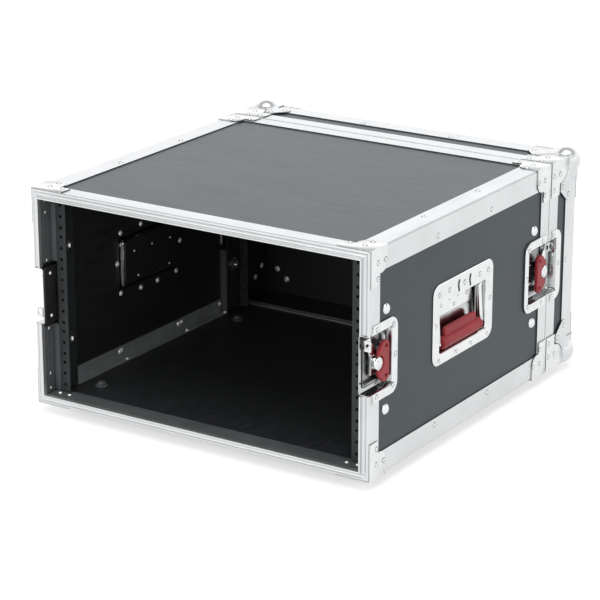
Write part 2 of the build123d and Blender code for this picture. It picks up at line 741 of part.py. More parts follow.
# ---------------------------------------------------------------- handles
HINGE_Z = BASE + HANDLE_Z + POCKET_HIGH - 5.0
HINGE_X = SIDE - 9.0
BAIL_TILT = 3.5

for side, hand in side_name.items():
    out = (side, 0, 0)
    into = (-side, 0, 0)
    handle_face = side_plane(side, 1, BODY_MIDDLE, BASE + HANDLE_Z, -SKIN)
    pocket_middle = (POCKET_LOW + POCKET_HIGH) / 2
    pocket_height = POCKET_HIGH - POCKET_LOW

    with BuildPart() as handle_dish:
        with BuildSketch(handle_face):
            RectangleRounded(2 * HANDLE_HALF_Y, 2 * HANDLE_HALF_Z, 15)
        extrude(amount=SKIN, dir=out)
        with BuildSketch(handle_face):
            with Locations((0, pocket_middle)):
                Rectangle(2 * (POCKET_HALF_Y + DISH_METAL), pocket_height + 2 * DISH_METAL)
        extrude(amount=HANDLE_DEPTH + DISH_METAL - SKIN, dir=into)
        with BuildSketch(handle_face):
            with Locations((0, pocket_middle)):
                RectangleRounded(2 * POCKET_HALF_Y, pocket_height, 4)
        extrude(amount=HANDLE_DEPTH - SKIN, dir=into, mode=Mode.SUBTRACT)
        with BuildSketch(handle_face):
            with Locations((0, pocket_middle)):
                RectangleRounded(2 * POCKET_HALF_Y, pocket_height, 4)
        extrude(amount=SKIN, dir=out, mode=Mode.SUBTRACT)
        with Locations(Plane(origin=(side * HINGE_X, BODY_MIDDLE, HINGE_Z), z_dir=(0, 1, 0))):
            Cylinder(BAIL_R + 0.05, 2 * POCKET_HALF_Y + 20, mode=Mode.SUBTRACT)
    save(handle_dish, f"handle_dish_{hand}")

    down = Vector(side * BAIL_TILT, 0, -BAIL_DROP)
    pivot = (side * HINGE_X, BODY_MIDDLE, HINGE_Z)
    swing = Plane(origin=pivot, x_dir=(0, 1, 0), z_dir=Vector(0, 1, 0).cross(down))
    reach = down.length
    tip = POCKET_HALF_Y + 3.0
    with BuildPart() as handle_bail:
        with BuildLine(swing):
            wire = FilletPolyline(
                (-tip, 0),
                (-BAIL_HALF, 0),
                (-BAIL_HALF, reach),
                (BAIL_HALF, reach),
                (BAIL_HALF, 0),
                (tip, 0),
                radius=4.4,
            )
        with BuildSketch(Plane(origin=wire @ 0, z_dir=wire % 0)):
            Circle(BAIL_R)
        sweep(path=wire)
    save(handle_bail, f"handle_bail_{hand}")

    with BuildPart() as handle_grip:
        bar = Plane(origin=swing.from_local_coords((0, reach, 0)), z_dir=(0, 1, 0))
        with Locations(bar):
            Cylinder(GRIP_R, 103)
        with BuildSketch(swing):
            with Locations((0, reach - GRIP_R - 2.0)):
                Rectangle(84, 16)
        extrude(amount=3.0, both=True)
        with Locations(bar):
            Cylinder(BAIL_R + 0.05, 120, mode=Mode.SUBTRACT)
    save(handle_grip, f"handle_grip_{hand}")

cover_depth = HANDLE_DEPTH + DISH_METAL
with BuildPart() as handle_covers:
    for side in (-1, 1):
        block(
            layer(side, cover_depth, cover_depth + 1.5),
            (BODY_MIDDLE - 60, BODY_MIDDLE + 60),
            (BASE + 122, BASE + 184),
        )
save(handle_covers, "handle_covers")

with BuildPart() as handle_springs:
    for side in (-1, 1):
        for y in (-13.0, 17.0):
            block(
                (side * SIDE, side * (SIDE + 1.2)),
                (BODY_MIDDLE + y - 1.1, BODY_MIDDLE + y + 1.1),
                (BASE + HANDLE_Z + POCKET_HIGH + 8.0, BASE + HANDLE_Z + POCKET_HIGH + 22.0),
            )
save(handle_springs, "handle_springs")

# ---------------------------------------------------------------- rivets
EDGE_RIVET_Y = 71.0
brace_rivets = ((18.0, 18.0), (36.0, 18.0), (18.0, 39.0))
lid_brace_rivets = ((8.0, 19.0), (26.0, 19.0), (9.0, 39.0))
flap_rivets = ((26.0, 54.0), (43.0, 40.0))

with BuildPart() as body_rivets:
    heads = []
    for side, level in corners:
        for y in (BODY_MIDDLE - EDGE_RIVET_Y, BODY_MIDDLE + EDGE_RIVET_Y):
            heads.append(on_side(side, y, level_height[level] - level * 22.0))
            heads.append(on_level(level, side * (SIDE - 22.0), y))
        for face, away in ((FRONT, 1), (SEAM, -1)):
            for a, b in brace_rivets:
                heads.append(on_side(side, face + away * a, level_height[level] - level * b, SKIN))
                heads.append(on_level(level, side * (SIDE - b), face + away * a, SKIN))
    rivets(heads)
save(body_rivets, "body_rivets")

with BuildPart() as hardware_rivets:
    heads = []
    for side in (-1, 1):
        for face, away in ((FRONT, 1), (SEAM, -1)):
            for t in (-44.5, 44.5):
                heads.append(on_side(side, face + away * 18.0, BASE + LATCH_Z + t, DISH_METAL))
            for t in (-40.0, 0.0, 40.0):
                reach = 62.5 - abs(t) / 8
                heads.append(on_side(side, face + away * reach, BASE + LATCH_Z + t, DISH_METAL))
        for y, t in (
            [(y, 41.0) for y in (-64.0, -38.0, 2.0, 43.0, 66.0)]
            + [(y, -50.0) for y in (-64.0, -19.0, 21.0, 66.0)]
            + [(y, 0.0) for y in (-72.5, 72.5)]
        ):
            heads.append(on_side(side, BODY_MIDDLE + y, BASE + HANDLE_Z + t))
    rivets(heads)
save(hardware_rivets, "hardware_rivets")

with BuildPart() as inner_rivet_tails:
    tails = []
    for side in (-1, 1):
        for y, z in (
            (-13, 198), (-61, 196), (80, 149), (-70, 153), (70, 106), (24, 104), (-16, 104), (-63, 108)
        ):
            tails.append(inside_wall(side, BODY_MIDDLE + y, BASE + z))
        for y in (BODY_MIDDLE - EDGE_RIVET_Y, BODY_MIDDLE + EDGE_RIVET_Y):
            tails.append(inside_wall(side, y, BASE + 24.0, SKIN))
    rivets(tails, 2.6, 1.6)
save(inner_rivet_tails, "inner_rivet_tails")

with BuildPart() as lid_rivets:
    heads = []
    for side, level in corners:
        for a, b in lid_brace_rivets:
            heads.append(on_side(side, LID_FRONT + a, level_height[level] - level * b, SKIN))
            heads.append(on_level(level, side * (SIDE - b), LID_FRONT + a, SKIN))
        for a, b in flap_rivets:
            heads.append(on_side(side, REAR - a, level_height[level] - level * b, SKIN))
            heads.append(on_level(level, side * (SIDE - b), REAR - a, SKIN))
            heads.append(on_rear(side * (SIDE - a - 4.0), level_height[level] - level * (b - 6.0), SKIN))
    for level in (1, -1):
        for x in (-73.0, 73.0):
            heads.append(on_level(level, x, REAR - 24.0))
            heads.append(on_rear(x, level_height[level] - level * 24.0))
    for side in (-1, 1):
        heads.append(on_side(side, REAR - 24.0, MIDDLE))
        heads.append(on_rear(side * (SIDE - 24.0), MIDDLE))
        for t in (-44.5, 44.5):
            heads.append(on_side(side, LID_FRONT + 13.0, BASE + LATCH_Z + t, DISH_METAL))
        heads.append(on_side(side, LID_FRONT + 30.5, BASE + LATCH_Z, DISH_METAL))
    rivets(heads)
save(lid_rivets, "lid_rivets")
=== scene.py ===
"""The looks of a six-unit rack case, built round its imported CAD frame.

Shapes are worked out in millimetres and placed in metres, in the frame's own axes: X across the case,
+Y from the open front to the rear lid, +Z up.
"""

import json
import math

import bmesh
import bpy
from mathutils import Matrix, Vector

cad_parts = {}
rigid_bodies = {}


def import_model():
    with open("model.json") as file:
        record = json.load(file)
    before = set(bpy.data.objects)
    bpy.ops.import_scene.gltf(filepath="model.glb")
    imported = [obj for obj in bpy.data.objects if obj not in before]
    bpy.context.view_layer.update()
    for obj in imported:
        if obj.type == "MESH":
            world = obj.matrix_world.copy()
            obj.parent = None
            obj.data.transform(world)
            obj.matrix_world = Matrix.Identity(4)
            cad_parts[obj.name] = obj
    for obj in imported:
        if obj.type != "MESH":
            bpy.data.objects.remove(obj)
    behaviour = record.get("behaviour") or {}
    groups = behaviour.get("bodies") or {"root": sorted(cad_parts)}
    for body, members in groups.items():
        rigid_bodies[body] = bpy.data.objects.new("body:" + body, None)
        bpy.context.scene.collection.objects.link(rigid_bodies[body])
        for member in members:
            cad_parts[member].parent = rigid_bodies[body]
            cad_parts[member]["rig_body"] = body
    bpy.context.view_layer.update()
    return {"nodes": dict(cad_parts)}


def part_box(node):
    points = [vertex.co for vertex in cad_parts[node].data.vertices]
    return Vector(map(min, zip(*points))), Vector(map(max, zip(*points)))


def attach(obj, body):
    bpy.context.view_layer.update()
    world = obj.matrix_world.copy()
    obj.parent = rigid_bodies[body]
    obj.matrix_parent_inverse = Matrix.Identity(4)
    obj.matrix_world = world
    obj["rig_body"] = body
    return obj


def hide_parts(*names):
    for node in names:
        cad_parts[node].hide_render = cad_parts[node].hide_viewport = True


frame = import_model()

MM = 0.001
WELD = 2e-6  # metres: the frame's meshes are split along their hard edges, and this joins them
nodes = frame["nodes"]


def box_mm(node):
    low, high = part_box(node)
    return low / MM, high / MM


# ---------------------------------------------------------------- planes, read from the frame
SIDE = box_mm("edge_angles_top")[1].x
TOP = box_mm("edge_angles_top")[1].z
BASE = box_mm("edge_angles_bottom")[0].z
FRONT = box_mm("latch_dishes_front")[0].y
SEAM = box_mm("latch_dishes_rear")[1].y
LID_FRONT = box_mm("lid_latch_dishes")[0].y
REAR = box_mm("lid_edge_angles")[1].y
LATCH_Z = sum(corner.z for corner in box_mm("latch_dishes_front")) / 2
HANDLE_Z = sum(corner.z for corner in box_mm("handle_dish_right")) / 2
BODY_MIDDLE = (FRONT + SEAM) / 2
FLOOR = box_mm("body_bottom_panel")[1].z
SIDES = ((-1, "left"), (1, "right"))

# ---------------------------------------------------------------- sizes of the pressed parts, in mm
SKIN = 1.5
WALL = 11.0
LATCH_FLANGE = 51.0
LATCH_HALF = 38.5
LATCH_BODY = 57.0
LATCH_LID = 25.0
LATCH_RIM = 11.0
LID_LEG = 24.0
DISH_DEPTH = 14.0
CAP_DROP = -4.0
HANDLE_HALF_Y = 80.0
HANDLE_HALF_Z = 55.5
HANDLE_DEPTH = 16.0
POCKET_HALF_Y = 62.0
POCKET_LOW = -40.0
POCKET_HIGH = 28.0
BAIL_R = 3.5
GRIP_R = 8.5
PAN_METAL = 1.2  # the pressed thickness of a handle's pan
BALL_INSET = 11.0  # from the case's faces to the centre of a ball
BALL_REACH = 22.0  # further out than this, a ball corner is flap
FOOT_X = 210.0
FOOT_Y = 73.0  # from the body's front and rear ends


# ---------------------------------------------------------------- materials
class Nodes:
    """A short way to write a material's nodes."""

    def __init__(self, name):
        self.material = bpy.data.materials.new(name)
        self.material.use_nodes = True
        self.tree = self.material.node_tree
        self.shader = self.tree.nodes["Principled BSDF"]
        coordinates = self.tree.nodes.new("ShaderNodeTexCoord")
        self.place = coordinates.outputs["Object"]

    def add(self, kind, inputs=None, **settings):
        node = self.tree.nodes.new("ShaderNode" + kind)
        for key, value in settings.items():
            setattr(node, key, value)
        for key, value in (inputs or {}).items():
            if isinstance(value, bpy.types.NodeSocket):
                self.tree.links.new(value, node.inputs[key])
            else:
                node.inputs[key].default_value = value
        return node

    def stretched(self, scale):
        return self.add("Mapping", {"Vector": self.place, "Scale": scale}).outputs["Vector"]

    def noise(self, scale, detail=4.0, stretch=(1, 1, 1), roughness=0.55, distortion=0.0):
        inputs = {
            "Vector": self.stretched(stretch),
            "Scale": scale,
            "Detail": detail,
            "Roughness": roughness,
            "Distortion": distortion,
        }
        return self.add("TexNoise", inputs).outputs["Fac"]

    def spread(self, value, low, high, start=0.3, end=0.7):
        inputs = {"Value": value, "From Min": start, "From Max": end, "To Min": low, "To Max": high}
        return self.add("MapRange", inputs).outputs["Result"]

    def blend(self, share, first, second):
        ramp = self.add("ValToRGB", {"Fac": share})
        for stop, colour, at in zip(ramp.color_ramp.elements, (first, second), (0.3, 0.7)):
            stop.position = at
            stop.color = (*colour, 1)
        return ramp.outputs["Color"]

    def multiply(self, first, second):
        return self.add("Math", {0: first, 1: second}, operation="MULTIPLY").outputs[0]

    def total(self, first, second):
        return self.add("Math", {0: first, 1: second}, operation="ADD").outputs[0]

    def bump(self, height, strength, distance):
        inputs = {"Height": height, "Strength": strength, "Distance": distance}
        return self.add("Bump", inputs).outputs["Normal"]

    def link(self, **sockets):
        for name, value in sockets.items():
            self.tree.links.new(value, self.shader.inputs[name.replace("_", " ")])

    def fix(self, **values):
        for name, value in values.items():
            self.shader.inputs[name.replace("_", " ")].default_value = value


def laminate():
    n = Nodes("laminate")
    blotch = n.noise(9, 3)
    streak = n.noise(14, 4, stretch=(0.7, 9, 9), distortion=0.4)
    pebble = n.add("TexVoronoi", {"Vector": n.place, "Scale": 620.0}, feature="SMOOTH_F1").outputs["Distance"]
    scuff = n.noise(60, 8, stretch=(1, 5, 5), roughness=0.75)
    tone = n.total(n.multiply(blotch, 0.45), n.multiply(streak, 0.55))
    n.link(
        Base_Color=n.blend(tone, (0.013, 0.019, 0.021), (0.022, 0.031, 0.034)),
        Roughness=n.spread(n.total(n.multiply(streak, 0.5), n.multiply(scuff, 0.5)), 0.30, 0.42),
        Normal=n.bump(n.total(pebble, n.multiply(scuff, 0.6)), 0.16, 0.0003),
    )
    n.fix(Specular_IOR_Level=0.33, Specular_Tint=(0.88, 0.99, 1.0, 1.0))
    return n.material


def edging(name, stretch):
    """Extruded aluminium: fine draw lines along the bar, faint blotches and handling scratches."""
    n = Nodes(name)
    lines = n.noise(420, 3, stretch=stretch, roughness=0.6)
    blotch = n.noise(16, 5)
    scratch = n.noise(55, 10, roughness=0.85, distortion=2.2)
    n.link(
        Base_Color=n.blend(blotch, (0.60, 0.61, 0.613), (0.66, 0.67, 0.673)),
        Roughness=n.spread(n.total(n.multiply(lines, 0.6), n.multiply(scratch, 0.4)), 0.28, 0.42),
        Normal=n.bump(n.total(lines, n.multiply(scratch, 0.5)), 0.07, 0.0002),
    )
    n.fix(Metallic=0.9)
    return n.material


def plated(name, light, dark, rough, bump, metallic=1.0):
    """Plated steel: cloudy colour, patchy gloss and slight waves from pressing."""
    n = Nodes(name)
    cloud = n.noise(34, 6, roughness=0.65)
    wave = n.noise(120, 2)
    grain = n.noise(900, 4)
    n.link(
        Base_Color=n.blend(cloud, dark, light),
        Roughness=n.spread(n.total(n.multiply(cloud, 0.6), n.multiply(grain, 0.4)), *rough),
        Normal=n.bump(n.total(wave, n.multiply(grain, 0.25)), bump, 0.0005),
    )
    n.fix(Metallic=metallic)
    return n.material


def painted(name, light, dark, rough, scale, bump, metallic=0.0, specular=0.5):
    """Paint, plywood stain or moulded plastic: an even skin with a fine grain."""
    n = Nodes(name)
    patch = n.noise(22, 5)
    grain = n.noise(scale, 5, roughness=0.7)
    n.link(
        Base_Color=n.blend(patch, dark, light),
        Roughness=n.spread(n.total(n.multiply(patch, 0.5), n.multiply(grain, 0.5)), *rough),
        Normal=n.bump(grain, bump, 0.0004),
    )
    n.fix(Metallic=metallic, Specular_IOR_Level=specular)
    return n.material


def stained_plywood():
    """The unlined inside of the panels: black stain with the veneer's grain just showing."""
    n = Nodes("black_ply")
    veneer = n.noise(30, 6, stretch=(6, 0.8, 6), roughness=0.7, distortion=0.6)
    pores = n.noise(700, 3, stretch=(4, 0.4, 4))
    n.link(
        Base_Color=n.blend(veneer, (0.009, 0.0098, 0.0105), (0.018, 0.0193, 0.0205)),
        Roughness=n.spread(veneer, 0.34, 0.50),
        Normal=n.bump(n.total(veneer, pores), 0.14, 0.0003),
    )
    n.fix(Specular_IOR_Level=0.5)
    return n.material


LAMINATE = laminate()
ALONG_X = edging("edging_x", (0.02, 1, 1))
ALONG_Y = edging("edging_y", (1, 0.02, 1))
ALONG_Z = edging("edging_z", (1, 1, 0.02))
ZINC = plated("zinc_steel", (0.76, 0.77, 0.77), (0.66, 0.67, 0.673), (0.22, 0.36), 0.08)
RIVET_ZINC = plated("rivet_zinc", (0.90, 0.905, 0.905), (0.82, 0.825, 0.83), (0.26, 0.40), 0.05, 0.35)
CHROME = plated("chrome", (0.76, 0.77, 0.77), (0.66, 0.67, 0.673), (0.06, 0.18), 0.10)
# Painted shade: a darker copy of the chrome for the inside of the pans' recesses.
PAN_PAINTED_SHADE = plated("pan_painted_shade", (0.60, 0.61, 0.61), (0.42, 0.43, 0.43), (0.10, 0.22), 0.12)
CORNER_ZINC = plated("corner_zinc", (0.66, 0.67, 0.67), (0.57, 0.58, 0.585), (0.26, 0.38), 0.05, 0.85)
ANGLE_STEEL = painted("angle_steel", (0.36, 0.375, 0.38), (0.23, 0.24, 0.245), (0.30, 0.45), 700, 0.10, 0.4)
# Painted shade: a darker copy of the plated steel for the latch base plates at the bottom of the recesses,
# standing in for dark reflections there.
SHADED_BASE_STEEL = plated("latch_base_steel_painted_shade", (0.34, 0.345, 0.35), (0.20, 0.205, 0.21), (0.18, 0.34), 0.12)
# Painted shade: this dark material goes on plate edges, rivet dimples and seats and the pans' lips, as the
# shadow lines along them.
SHADE = painted("painted_edge_shade", (0.070, 0.072, 0.074), (0.035, 0.036, 0.038), (0.36, 0.55), 700, 0.15, 0.3)
DARK_STEEL = painted("dark_steel", (0.080, 0.086, 0.088), (0.056, 0.060, 0.062), (0.34, 0.50), 800, 0.10, 0.1)
RAIL_STEEL = painted(
    "rail_steel", (0.024, 0.026, 0.027), (0.016, 0.018, 0.019), (0.34, 0.50), 650, 0.12, specular=0.25
)
COVER_STEEL = painted("cover_steel", (0.020, 0.020, 0.021), (0.012, 0.012, 0.013), (0.28, 0.42), 500, 0.08)
BLACK_PLY = stained_plywood()
# Painted shade: near-black for the dark inside of the handles' spring slots.
SLOT_SHADE = painted("slot_painted_shade", (0.006, 0.006, 0.006), (0.003, 0.003, 0.003), (0.60, 0.80), 500, 0.10)
RED_PLASTIC = painted(
    "red_plastic", (0.26, 0.018, 0.024), (0.20, 0.012, 0.017), (0.34, 0.48), 600, 0.06, specular=0.28
)
RED_RUBBER = painted(
    "red_rubber", (0.235, 0.020, 0.026), (0.175, 0.013, 0.018), (0.42, 0.58), 420, 0.16, specular=0.28
)
BLACK_RUBBER = painted("black_rubber", (0.020, 0.020, 0.020), (0.012, 0.012, 0.012), (0.62, 0.82), 600, 0.25)


# ---------------------------------------------------------------- mesh helpers
def set_smooth(mesh, angle=32):
    mesh.shade_smooth()
    mesh.set_sharp_from_angle(angle=math.radians(angle))


def from_bmesh(bm):
    mesh = bpy.data.meshes.new("made")
    bm.to_mesh(mesh)
    bm.free()
    return mesh


PLAIN, RIM, INSIDE = 0, 1, 2  # how a part marks its faces, for the materials that piece() gives them


def piece(name, parts, body, material, replaced=(), angle=32, rim=None):
    """Joins (mesh, matrix) parts, in mm, into one visible piece that rides on a body. Faces marked
    RIM take the second material, if there is one, and faces marked INSIDE take the pans' darker
    chrome, painted shade for the inside of a recess."""
    bm = bmesh.new()
    for mesh, matrix in parts:
        first = len(bm.verts)
        faces_before = len(bm.faces)
        bm.from_mesh(mesh)
        bm.verts.ensure_lookup_table()
        bmesh.ops.transform(bm, matrix=matrix, verts=bm.verts[first:])
        if matrix.determinant() < 0:
            bm.faces.ensure_lookup_table()
            bmesh.ops.reverse_faces(bm, faces=bm.faces[faces_before:])
    bmesh.ops.scale(bm, vec=(MM, MM, MM), verts=bm.verts[:])
    mesh = from_bmesh(bm)
    mesh.materials.append(material)
    mesh.materials.append(rim or material)
    mesh.materials.append(PAN_PAINTED_SHADE)
    set_smooth(mesh, angle)
    made = bpy.data.objects.new(name, mesh)
    bpy.context.scene.collection.objects.link(made)
    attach(made, body)
    if replaced:
        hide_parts(*replaced)


def revolve(profile, segments=24):
    """A turned shape about local z, from (radius, height) points. A radius of 0 closes it."""
    bm = bmesh.new()
    rings = []
    for radius, height in profile:
        if radius == 0:
            rings.append([bm.verts.new((0, 0, height))])
            continue
        turns = [2 * math.pi * i / segments for i in range(segments)]
        rings.append([bm.verts.new((radius * math.cos(a), radius * math.sin(a), height)) for a in turns])
    for low, high in zip(rings, rings[1:]):
        for i in range(segments):
            j = i + 1
            corners = [low[i % len(low)], low[j % len(low)], high[j % len(high)], high[i % len(high)]]
            bm.faces.new(list(dict.fromkeys(corners)))
    bmesh.ops.recalc_face_normals(bm, faces=bm.faces[:])
    return from_bmesh(bm)


def rounded(points, radius, steps=6):
    """A closed outline with its corners rounded. `radius` is one number or one for each corner."""
    radii = radius if isinstance(radius, (list, tuple)) else [radius] * len(points)
    outline = []
    for i, (point, r) in enumerate(zip(points, radii)):
        corner = Vector(point)
        if r <= 0:
            outline.append(corner)
            continue
        before = (Vector(points[i - 1]) - corner).normalized()
        after = (Vector(points[(i + 1) % len(points)]) - corner).normalized()
        half = before.angle(after) / 2
        centre = corner + (before + after).normalized() * r / math.sin(half)
        start = corner + before * r / math.tan(half) - centre
        sweep = start.angle_signed(corner + after * r / math.tan(half) - centre)
        for k in range(steps + 1):
            turned = start.copy()
            turned.rotate(Matrix.Rotation(-sweep * k / steps, 2))
            outline.append(centre + turned)
    return [(p.x, p.y) for p in outline]


def rectangle(half_x, half_y, radius, centre=(0, 0), steps=6):
    x, y = centre
    points = [
        (x - half_x, y - half_y),
        (x + half_x, y - half_y),
        (x + half_x, y + half_y),
        (x - half_x, y + half_y),
    ]
    return rounded(points, radius, steps)


def circle(x, y, radius, steps=20):
    turns = [2 * math.pi * i / steps for i in range(steps)]
    return [(x + radius * math.cos(a), y + radius * math.sin(a)) for a in turns]


def from_curve(curve):
    holder = bpy.data.objects.new("holder", curve)
    mesh = bpy.data.meshes.new_from_object(holder)
    bpy.data.objects.remove(holder)
    bpy.data.curves.remove(curve)
    return mesh


def plate(outlines, thickness, soft=0.35):
    """A flat plate from z 0 to its thickness, with softened edges. Later outlines are holes."""
    curve = bpy.data.curves.new("outline", "CURVE")
    curve.dimensions = "2D"
    curve.fill_mode = "BOTH"
    curve.extrude = thickness / 2 - soft
    curve.bevel_depth = soft
    curve.bevel_resolution = 1
    curve.offset = -soft
    for points in outlines:
        spline = curve.splines.new("POLY")
        spline.points.add(len(points) - 1)
        for target, (x, y) in zip(spline.points, points):
            target.co = (x, y, thickness / 2, 1)
        spline.use_cyclic_u = True
    mesh = from_curve(curve)
    mesh.transform(Matrix.Translation((0, 0, thickness / 2 - middle_z(mesh))))
    # The side faces are marked RIM: where a piece's rim material is SHADE, they take painted shade.
    for face in mesh.polygons:
        face.material_index = RIM if abs(face.normal.z) < 0.6 else PLAIN
    return mesh


def middle_z(mesh):
    heights = [v.co.z for v in mesh.vertices]
    return (min(heights) + max(heights)) / 2


def wire(points, radius, resolution=4):
    """A round wire on a smooth curve through 3D control points."""
    curve = bpy.data.curves.new("wire", "CURVE")
    curve.dimensions = "3D"
    curve.bevel_depth = radius
    curve.bevel_resolution = resolution
    curve.use_fill_caps = True
    spline = curve.splines.new("NURBS")
    spline.points.add(len(points) - 1)
    for target, point in zip(spline.points, points):
        target.co = (*point, 1)
    spline.order_u = 3
    spline.use_endpoint_u = True
    return from_curve(curve)


POCKET_FROM = -3.0


def loft(rings, closed=True):
    """Skins a run of rings that have the same number of points and closes the last one. The first
    band is the rim, and what lies deeper than POCKET_FROM is the inside of a recess, which takes
    the darker chrome of painted shade."""
    bm = bmesh.new()
    rows = [[bm.verts.new(p) for p in ring] for ring in rings]
    count = len(rows[0])
    for low, high in zip(rows, rows[1:]):
        for i in range(count if closed else count - 1):
            j = (i + 1) % count
            band = bm.faces.new((low[i], low[j], high[j], high[i]))
            if band.calc_center_median().z < POCKET_FROM:
                band.material_index = INSIDE
            elif low is rows[0]:
                band.material_index = RIM
    bm.faces.new(rows[-1]).material_index = INSIDE
    bmesh.ops.recalc_face_normals(bm, faces=bm.faces[:])
    return from_bmesh(bm)


def applied(holder):
    """The holder's mesh with its modifiers applied. The holder is removed."""
    bpy.context.view_layer.update()
    made = bpy.data.meshes.new_from_object(holder.evaluated_get(bpy.context.evaluated_depsgraph_get()))
    bpy.data.objects.remove(holder)
    return made


def thicken(mesh, depth):
    """Gives a pressed skin its metal thickness, behind its outward face."""
    holder = bpy.data.objects.new("holder", mesh)
    bpy.context.scene.collection.objects.link(holder)
    modifier = holder.modifiers.new("metal", "SOLIDIFY")
    modifier.thickness = depth
    modifier.offset = -1.0
    modifier.use_even_offset = True
    return applied(holder)


def at(x, y, z):
    return Matrix.Translation((x, y, z))


def with_axes(x, y, z, spot):
    """The placement that has these local axes and this origin."""
    return Matrix([[c[i] for c in (x, y, z, spot)] for i in range(3)] + [[0, 0, 0, 1]])


def side_frame(side, away, y, z):
    """Local x runs along Y towards `away`, y is up and z points out of the side face."""
    return with_axes((0, away, 0), (0, 0, 1), (side, 0, 0), (side * SIDE, y, z))


def facing(direction, spot):
    return Matrix.Translation(spot) @ Vector(direction).to_track_quat("Z", "Y").to_matrix().to_4x4()


def corners_of(points):
    low = Vector([min(p[i] for p in points) for i in range(3)])
    high = Vector([max(p[i] for p in points) for i in range(3)])
    return low, high


def islands(node):
    """The separate solids of a CAD node, each as a list of points in mm."""
    bm = bmesh.new()
    bm.from_mesh(nodes[node].data)
    bmesh.ops.remove_doubles(bm, verts=bm.verts[:], dist=WELD)
    left = set(bm.verts)
    found = []
    while left:
        stack = [left.pop()]
        group = []
        while stack:
            vert = stack.pop()
            group.append(vert.co / MM)
            for edge in vert.link_edges:
                other = edge.other_vert(vert)
                if other in left:
                    left.remove(other)
                    stack.append(other)
        found.append(group)
    bm.free()
    return sorted(found, key=lambda g: tuple(round(c, 2) for c in sum(g, Vector()) / len(g)))


def heads(node):
    """Foot point, outward direction and radius of each head in a node of rivets."""
    found = []
    for group in islands(node):
        low, high = corners_of(group)
        size = high - low
        axis = min(range(3), key=lambda i: size[i])
        middle = (low + high) / 2
        halves = ([], [])
        for point in group:
            away = point - middle
            away[axis] = 0
            halves[point[axis] > middle[axis]].append(away.length)
        outward = 1 if max(halves[0]) > max(halves[1]) else -1
        direction = Vector([outward if i == axis else 0 for i in range(3)])
        foot = middle.copy()
        foot[axis] = low[axis] if outward > 0 else high[axis]
        found.append((foot, direction, max(size) / 2))
    return found


# ---------------------------------------------------------------- carried-over CAD nodes
PANELS = "body_top_panel body_bottom_panel body_left_panel body_right_panel lid_back_panel lid_rim_panels"
LEVEL_EDGING = "front_frame_top front_frame_bottom"
UPRIGHT_EDGING = "front_frame_left front_frame_right rear_frame_rails lid_frame_rails"
LONG_EDGING = "edge_angles_top edge_angles_bottom lid_edge_angles"
CARRIED = (
    (LAMINATE, "laminate", PANELS),
    (ALONG_X, "edging", LEVEL_EDGING),
    (ALONG_Z, "edging", UPRIGHT_EDGING),
    (ALONG_Y, "edging", LONG_EDGING),
    (DARK_STEEL, "dark_steel", "rail_packers front_liner_strips"),
    (ANGLE_STEEL, "dark_steel", "floor_angle_strips"),
    (RAIL_STEEL, "dark_steel", "rack_rail_front_left rack_rail_front_right rack_rails_rear"),
    (CHROME, "chrome", "handle_bail_left handle_bail_right"),
)
for material, slot, names in CARRIED:
    for name in names.split():
        nodes[name].data.materials.clear()
        nodes[name].data.materials.append(material)

# Painted shade: the cut edges of the edging's legs take the dark SHADE material, as a painted shadow line
# along the laminate, except at the open front.
EDGE_BAND = SKIN + 0.2
FRONT_BAND = 2.5
for name in " ".join((LEVEL_EDGING, UPRIGHT_EDGING, LONG_EDGING)).split():
    mesh = nodes[name].data
    mesh.materials.append(SHADE)
    for face in mesh.polygons:
        low, high = corners_of([mesh.vertices[i].co / MM for i in face.vertices])
        normal = face.normal
        in_side = low.x > SIDE - EDGE_BAND or high.x < EDGE_BAND - SIDE
        in_level = low.z > TOP - EDGE_BAND or high.z < BASE + EDGE_BAND
        in_rear = low.y > REAR - EDGE_BAND
        painted_shade_line = [
            in_side and abs(normal.x) < 0.5,
            in_level and abs(normal.z) < 0.5,
            in_rear and abs(normal.y) < 0.5,
        ]
        face.material_index = int(sum(painted_shade_line) == 1 and high.y >= FRONT + FRONT_BAND)

# The panels are laminate outside and stained plywood inside.
case_middle = Vector((0, BODY_MIDDLE, (TOP + BASE) / 2))
half_size = Vector((SIDE, REAR - BODY_MIDDLE, (TOP - BASE) / 2))
for name in PANELS.split():
    mesh = nodes[name].data
    mesh.materials.append(BLACK_PLY)
    for face in mesh.polygons:
        spot, normal = face.center / MM - case_middle, face.normal
        out = Vector([spot[i] / half_size[i] for i in range(3)])
        outside = max(abs(c) for c in normal) > 0.9 and normal.dot(out) > 0.9
        face.material_index = 0 if outside else 1


def softened(node, material, width):
    """A copy of a flat-sided CAD node with its sharp edges eased, standing for the node."""
    bm = bmesh.new()
    bm.from_mesh(nodes[node].data)
    bmesh.ops.scale(bm, vec=(1 / MM,) * 3, verts=bm.verts[:])
    bmesh.ops.remove_doubles(bm, verts=bm.verts[:], dist=0.002)
    bmesh.ops.dissolve_limit(bm, angle_limit=math.radians(0.5), verts=bm.verts[:], edges=bm.edges[:])
    sharp = [e for e in bm.edges if len(e.link_faces) == 2 and e.calc_face_angle(0) > math.radians(40)]
    bmesh.ops.bevel(
        bm,
        geom=sharp,
        offset=width,
        offset_type="OFFSET",
        segments=2,
        profile=0.5,
        affect="EDGES",
        clamp_overlap=True,
    )
    # Painted shade: the turned faces along the plate's outer edges are marked RIM and take SHADE.
    for face in bm.faces:
        spot = face.calc_center_median()
        on_side = abs(spot.x) > SIDE + 0.1
        on_level = spot.z > TOP + 0.1 or spot.z < BASE - 0.1
        turned = abs(face.normal.x) < 0.6 if on_side else abs(face.normal.z) < 0.6
        face.material_index = RIM if turned and on_side != on_level else PLAIN
    parts = [(from_bmesh(bm), Matrix.Identity(4))]
    piece(f"{node}_eased", parts, nodes[node]["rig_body"], material, [node], 40, SHADE)


for node in ("front_corner_braces", "rear_corner_braces", "lid_corner_braces"):
    softened(node, ZINC, 0.45)
softened("lid_keepers", CHROME, 0.3)


